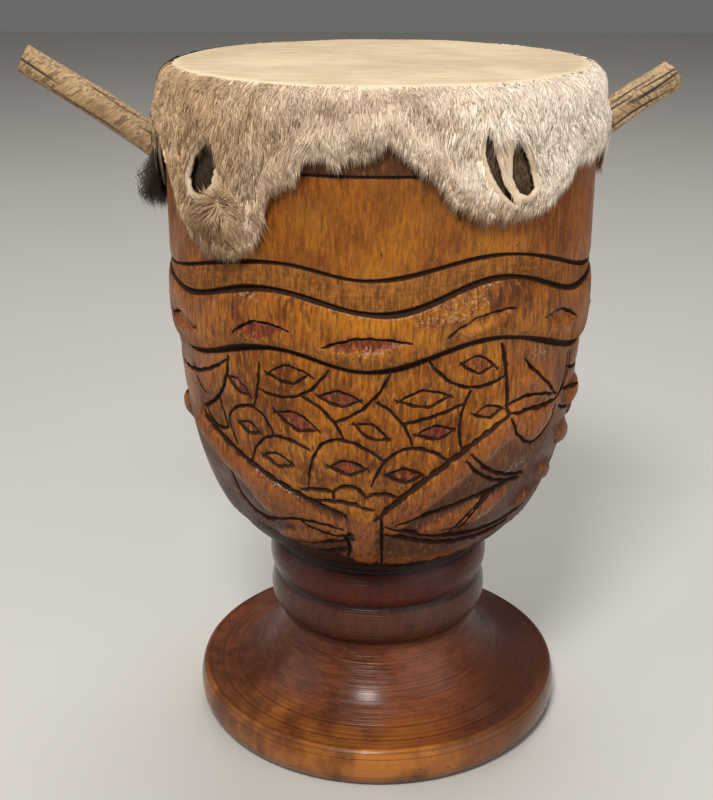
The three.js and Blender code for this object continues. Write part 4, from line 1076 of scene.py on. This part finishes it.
def coat_mesh(seed):
    """One share of the strands, scattered over the skirt and laid along the hide's face: each runs down the
    flow, bends to the middle of its tuft and rises off the skin by an arch, with marks for how cream, how
    black and how light it is. How light carries painted shade at the lower right and in the dip above the
    front hem's roll, and a painted highlight on the roll."""
    pick = np.random.default_rng(seed)
    angle = pick.uniform(-180, 180, strands_per_piece * 3)
    along = pick.uniform(shaved_to - 1.5, shaved_to + 78, strands_per_piece * 3)
    at_hem = pick.uniform(size=len(along)) < 0.06
    along = np.where(at_hem, skirt_length(angle) - pick.uniform(0, 3, len(along)), along)
    s, z = np.radians(angle) * hide_radius, np.interp(along, along_profile, hide_profile[:, 1])
    near_slot, inside = slot_distance(s, z)
    keep = (along < skirt_length(angle) - 0.3) & ~inside & (near_slot > 1.6 + pick.uniform(0, 1.4, len(s)))
    strip_angle, strip_half, strip_low, strip_high = bare_strip
    in_strip = np.abs(s - math.radians(strip_angle) * hide_radius) < strip_half
    keep &= ~(in_strip & (z < strip_high) & (z > strip_low))
    for peg in ("left", "right"):
        off = np.hypot(s - math.radians(peg_axes[peg][0]) * hide_radius, (z - peg_axes[peg][1] - 1.5) * 0.8)
        keep &= off > peg_bare_radius
    angle, along, s, z = (v[keep][:strands_per_piece] for v in (angle, along, s, z))
    n = len(s)
    at = (angle + 180) % 360 - 180
    above_edge = skirt_length(angle) - along
    flow = coat_flow(s, z)
    tuft_middle, tuft = tuft_marks(s + 0.8 * soft_noise(s, z, 7, 23), z)
    flow = flow + pick.normal(0, 0.08, flow.shape) + tuft[:, :1] * (0.09, 0.0)
    from_border = np.clip((along - shaved_to) / 16, 0, 1)
    length = (3.4 + 4.2 * from_border) * pick.uniform(0.7, 1.3, n)
    long_angle, long_height, half_width, half_height = long_hair
    long_s = math.radians(long_angle) * hide_radius
    whorl = np.exp(-(((s - long_s) / half_width) ** 2 + ((z - long_height) / half_height) ** 2))
    length += 7 * whorl * pick.uniform(0.2, 1, n)
    length = np.minimum(length, above_edge + pick.uniform(3.0, 6.5, n) + 5 * whorl)
    rise = pick.uniform(0.25, 1.0, n) * (0.55 + 0.45 * from_border)
    rise += 0.14 * tuft[:, 1].clip(-1, 2) + 1.8 * whorl
    rise = np.maximum(rise + 0.6 * np.exp(-(above_edge / 6) ** 2), 0.15)
    bristle = between(-at, 82, 88) * between(at, -126, -118) * between(308 - z, 0, 14)
    rise += bristle * pick.uniform(0, 1, n) ** 2 * 9
    length += bristle * 6
    gather = 0.28 * np.stack([tuft_middle[:, 0] - s, 0 * s], -1) / length[:, None]
    curl = pick.normal(0, 0.12, n)
    width = pick.uniform(0.13, 0.23, n)
    middles = []
    for t in (0.0, 0.5, 1.0):
        side = flow[:, 0] * t + (curl + gather[:, 0]) * t * t
        down = -flow[:, 1] * t + 0.12 * t * t
        middles.append(hide_place(angle + np.degrees(side * length / hide_radius), along + down * length,
                                  -0.2 + rise * np.sin(np.pi * (t * 0.72 + 0.03)) * 1.35 + 0.35 * t))
    pale = between(at + 7 * soft_noise(s, z, 22, 31), -48, -4) * 0.62
    pale += between(at + 6 * soft_noise(s, z, 14, 32), 6, 34) * 0.38
    pale *= 1 - between(at, 118, 150) * 0.6
    dark = between(-at + 3 * soft_noise(s, z, 12, 33), 76, 84)
    dark *= between(at + 4 * soft_noise(s, z, 12, 34), -134, -122)
    back_top = between(np.abs(at) + 5 * soft_noise(s, z, 12, 35), 150, 166) * between(z, 318, 326)
    dark = np.maximum(dark, back_top)
    right = between(at, 4, 20) * between(92 - at, 0, 12)
    varied = pick.normal(0, 0.13, n) + 0.09 * tuft[:, 2] + 0.15 * soft_noise(s, z, 12, 36)
    # Painted shade: the hair low at the right is darker and less pale.
    low_right_shade = right * between(301 - z + 3 * soft_noise(s, z, 9, 37), 0, 12)
    tone = 0.55 + 0.08 * between(at, -30, -12) + varied * (1 - 0.45 * right) + 0.2 * right
    tone = np.clip(tone - 0.65 * low_right_shade - 0.38 * whorl, 0, 1)
    pale *= 1 - 0.7 * low_right_shade
    # Painted light: the hair on the front hem's roll is lighter, and the hair in the dip above it darker.
    rolled = between(30 - np.abs(at + 4), 0, 10)
    roll_painted_light, dip_painted_shade = (np.exp(-((above_edge - far) / size) ** 2) for far, size in ((5, 5), (16, 4)))
    tone += rolled * (0.16 * roll_painted_light - 0.2 * dip_painted_shade)
    fringe = between(at, 8, 15) * between(36 - at, 0, 8) * np.exp(-(above_edge / 7) ** 2)
    fringe *= 0.6 + 0.6 * soft_noise(s, z, 6, 38)
    tone = np.clip(tone - 0.6 * fringe, 0, 1)
    pale *= 1 - 0.85 * np.clip(fringe, 0, 1)
    return strand_mesh(middles, width, 1.1, (pale, dark, tone))


def goat_hair():
    """Goat hair: from tan over pinkish beige to cream by its region, nearly black where it is dark, with
    each strand a little lighter or darker than the next."""
    material, nodes, shader, where = new_material("goat_hair")
    pale, dark, tone = nodes.channels("marks")
    tan = tone.mix((0.22, 0.120, 0.052), (0.90, 0.64, 0.39))
    cream = tone.mix((0.70, 0.50, 0.35), (1.0, 0.91, 0.79))
    blotch = nodes.noise(where, 55, 3, 0.6)
    colour = pale.mix(tan, cream)
    colour = (blotch.step(0.56, 0.7) * 0.3).mix(colour, (0.30, 0.20, 0.12))
    colour = dark.mix(colour, tone.mix((0.012, 0.007, 0.004), (0.06, 0.035, 0.02)))
    attach(nodes, shader, Base_Color=colour, Roughness=0.5 + tone * 0.15, Specular_IOR_Level=0.35)
    return material


def inner_mesh():
    """Hair that shows inside the front slots: strands that lean down the wood behind the skin, nearly black
    in the left slot and a little lighter in the right one. Their dark tone is partly the hair's own and
    partly painted shade inside the slots."""
    pick = np.random.default_rng(77)
    angle = np.concatenate([pick.uniform(-52, -40, 2600), pick.uniform(24, 39, 2600)])
    z = pick.uniform(292, 328, len(angle))
    near_slot, inside = slot_distance(np.radians(angle) * hide_radius, z)
    keep = inside | (near_slot < 2.5)
    angle, z = angle[keep], z[keep]
    n = len(angle)
    lean = pick.normal(0.5, 0.35, n) * np.where(angle < 0, 1, -1)
    length = pick.uniform(4, 9, n)
    width = pick.uniform(0.15, 0.24, n)
    middles = []
    for t in (0.0, 0.5, 1.0):
        turn = angle + np.degrees(lean * t * length / bowl_radius)
        rise = 0.25 + 1.4 * np.sin(np.pi * (0.1 + 0.6 * t)) * pick.uniform(0.3, 1)
        middles.append(leaned(on_side(turn, z - length * t, rise)))
    dark = np.where(angle < 0, 0.96, 0.78)
    tone = np.clip(pick.normal(0.45, 0.25, n), 0, 1)
    return strand_mesh(middles, width, 1.0, (0 * dark, dark, tone))


hair = goat_hair()
strand_sets = [("coat_inside", inner_mesh())]
strand_sets += [(f"coat_{number + 1}", coat_mesh(100 + number)) for number in range(coat_pieces)]
for name, (vertices, faces, marks) in strand_sets:
    coat = mesh_object(name, vertices, faces)
    set_marks(coat, "marks", marks)
    coat.data.materials.append(hair)
    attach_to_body(coat, "root")

# Pegs: two whittled sticks driven up and outward through the hide and the wall. The left one is a round
# branch with long drying cracks, the right one is split from a thicker stick and nearly square, and both
# are sawn off roughly.
peg_root, peg_rows, peg_count, peg_cracks = -26, 90, 72, 16

# Each peg's radius at the tip, reach along its axis, squareness of section, and turn about the axis.
peg_sections = {"left": (7.0, 87.0, 2.0, 0.0), "right": (6.6, 50.5, 3.4, 0.4)}
straw = {"left": (0.52, 0.350, 0.170), "right": (0.60, 0.420, 0.230)}


def peg_mesh(name):
    """A peg as rows of a superellipse section along its axis, (|cos|^n + |sin|^n)^(-1/n) times a radius
    that goes from root to tip, with cracks cut along it, a slight bend and a slanting sawn end."""
    angle, height, tilt, root_radius = peg_axes[name]
    tip_radius, reach, squareness, turned = peg_sections[name]
    origin, axis, side, over = peg_frame(angle, height, tilt)
    rows = np.linspace(peg_root, reach - 1.5, peg_rows)
    rows = np.concatenate([rows, [reach - 0.6, reach - 0.1, reach, reach]])
    end = np.ones(len(rows))
    end[-4:] = (0.985, 0.94, 0.86, 0.45)
    turn = np.linspace(0, 2 * np.pi, peg_count, endpoint=False)
    section = np.abs(np.cos(turn + turned)) ** squareness + np.abs(np.sin(turn + turned)) ** squareness
    section = section ** (-1 / squareness)
    share = np.clip((rows - peg_root) / (reach - peg_root), 0, 1)
    radius = (root_radius + (tip_radius - root_radius) * share)[:, None] * section[None]
    seed = 41 if name == "left" else 51
    radius *= 1 + 0.018 * soft_noise(turn[None] * 7, rows[:, None] * 0.35, 9, seed)
    radius += 0.12 * soft_noise(turn[None] * 30, rows[:, None] * 0.05, 4, seed + 1)
    cracks = np.zeros_like(radius)
    crack_rng = np.random.default_rng(seed + 2)
    for _ in range(peg_cracks):
        where = crack_rng.uniform(0, 2 * np.pi)
        centre = crack_rng.uniform(-5, reach)
        half = crack_rng.uniform(8, 34)
        path = where + 0.09 * np.sin(rows / crack_rng.uniform(5, 12) + where)
        off = (turn[None] - path[:, None] + np.pi) % (2 * np.pi) - np.pi
        fade = np.clip(1 - ((rows - centre) / half) ** 2, 0, 1)[:, None]
        crack = np.clip(1 - np.abs(off) * 7.5 / crack_rng.uniform(0.55, 1.0), 0, 1)
        cracks = np.maximum(cracks, fade * crack)
    radius = (radius - 0.75 * cracks) * end[:, None]
    slant = 1.2 * np.cos(turn - 0.6) + 0.5 * soft_noise(turn * 6, turn * 0, 5, seed + 3)
    bend = 0.9 * np.sin(np.clip(rows, 0, reach) / reach * np.pi * 1.3)
    centres = origin + rows[:, None] * axis + bend[:, None] * over
    ring = np.cos(turn)[None, :, None] * side + np.sin(turn)[None, :, None] * over
    vertices = centres[:, None] + ring * radius[..., None]
    vertices += axis * (slant[None] * np.clip((rows - reach + 4) / 4, 0, 1)[:, None])[..., None]
    _, faces = tube(centres, np.ones((len(rows), peg_count)), side, over, peg_count)
    ends = np.array([vertices[0].mean(0), vertices[-1].mean(0)])
    marks = np.stack([cracks.ravel(), np.repeat(rows / reach, peg_count), np.repeat(end, peg_count)], -1)
    marks = np.concatenate([marks, [(0, 0, 1), (0, 1, 0.3)]])
    return np.concatenate([vertices.reshape(-1, 3), ends]) * MM, faces, marks


def stick_wood(name):
    """Bare dry wood: straw to tan with grain along the stick, dark in its cracks and greyer on the sawn
    end."""
    material, nodes, shader, where = new_material("stick_wood_" + name)
    crack, _, trim = nodes.channels("marks")
    lean = math.radians(peg_axes[name][2]) * (1 if name == "left" else -1)
    along = nodes.node("ShaderNodeMapping", {}, {"Vector": where, "Rotation": (0, lean, 0)})
    grain = nodes.noise(nodes.stretched(along, (0.06, 1, 1)), 900, 4, 0.65)
    streak = nodes.noise(nodes.stretched(along, (0.035, 1, 1)), 330, 3, 0.6)
    blotch = nodes.noise(where, 60, 3)
    colour = (grain * 0.5 + streak * 0.5).step(0.33, 0.68).mix((0.16, 0.086, 0.034), straw[name])
    colour = (blotch.step(0.5, 0.7) * 0.4).mix(colour, (0.25, 0.155, 0.075))
    colour = (streak.step(0.56, 0.62) * 0.75).mix(colour, (0.085, 0.046, 0.022))
    colour = crack.step(0.1, 0.6).mix(colour, (0.035, 0.02, 0.012))
    colour = ((1.0 - trim).step(0.05, 0.3) * 0.6).mix(colour, (0.40, 0.27, 0.14))
    attach(nodes, shader, Base_Color=colour, Roughness=0.62 + grain * 0.2,
           Normal=nodes.bump(0.5, 0.0006, grain + streak * 0.7))
    return material


for name in ("left", "right"):
    peg_vertices, peg_faces, peg_marks = peg_mesh(name)
    peg = mesh_object("stick_" + name, peg_vertices, peg_faces)
    set_marks(peg, "marks", peg_marks)
    peg.data.materials.append(stick_wood(name))
    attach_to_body(peg, "root")
    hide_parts("peg_" + name)

# Floor and light: a pale table top under a small bright light above the front, larger soft ones at the
# right, at the left and above the back, and a dim grey surround.
floor_half = 3.0
floor_corners = np.array([(-1, -1, 0), (1, -1, 0), (1, 1, 0), (-1, 1, 0)]) * floor_half
floor = mesh_object("floor", floor_corners, np.array([(0, 1, 2), (0, 2, 3)]))
floor_paint, floor_nodes, floor_shader, floor_where = new_material("floor")
attach(floor_nodes, floor_shader, Roughness=0.6,
       Base_Color=floor_nodes.noise(floor_where, 3).mix((0.50, 0.485, 0.455), (0.54, 0.525, 0.495)))
floor.data.materials.append(floor_paint)


def area_light(name, place, size, power, colour):
    """A square soft light at a place, aimed at the drum's middle."""
    light = bpy.data.objects.new(name, bpy.data.lights.new(name, "AREA"))
    light.data.size = size
    light.data.energy = power
    light.data.color = colour
    light.location = place
    light.rotation_euler = (Vector((0, 0, 0.18)) - Vector(place)).to_track_quat("-Z", "Y").to_euler()
    bpy.context.scene.collection.objects.link(light)


area_light("key", (-0.25, -1.15, 1.6), 0.42, 31, (1, 0.97, 0.93))
area_light("fill", (1.5, -1.2, 0.9), 2.0, 16, (1, 0.98, 0.95))
area_light("left", (-1.7, -0.2, 1.0), 1.6, 8, (1, 0.98, 0.96))
area_light("top", (0.1, 0.7, 1.8), 1.0, 18, (1, 0.98, 0.95))
world = bpy.data.worlds.new("studio")
world.use_nodes = True
world.node_tree.nodes["Background"].inputs["Color"].default_value = (0.66, 0.65, 0.64, 1)
world.node_tree.nodes["Background"].inputs["Strength"].default_value = 0.22
bpy.context.scene.world = world
bpy.context.scene.view_settings.view_transform = "Standard"
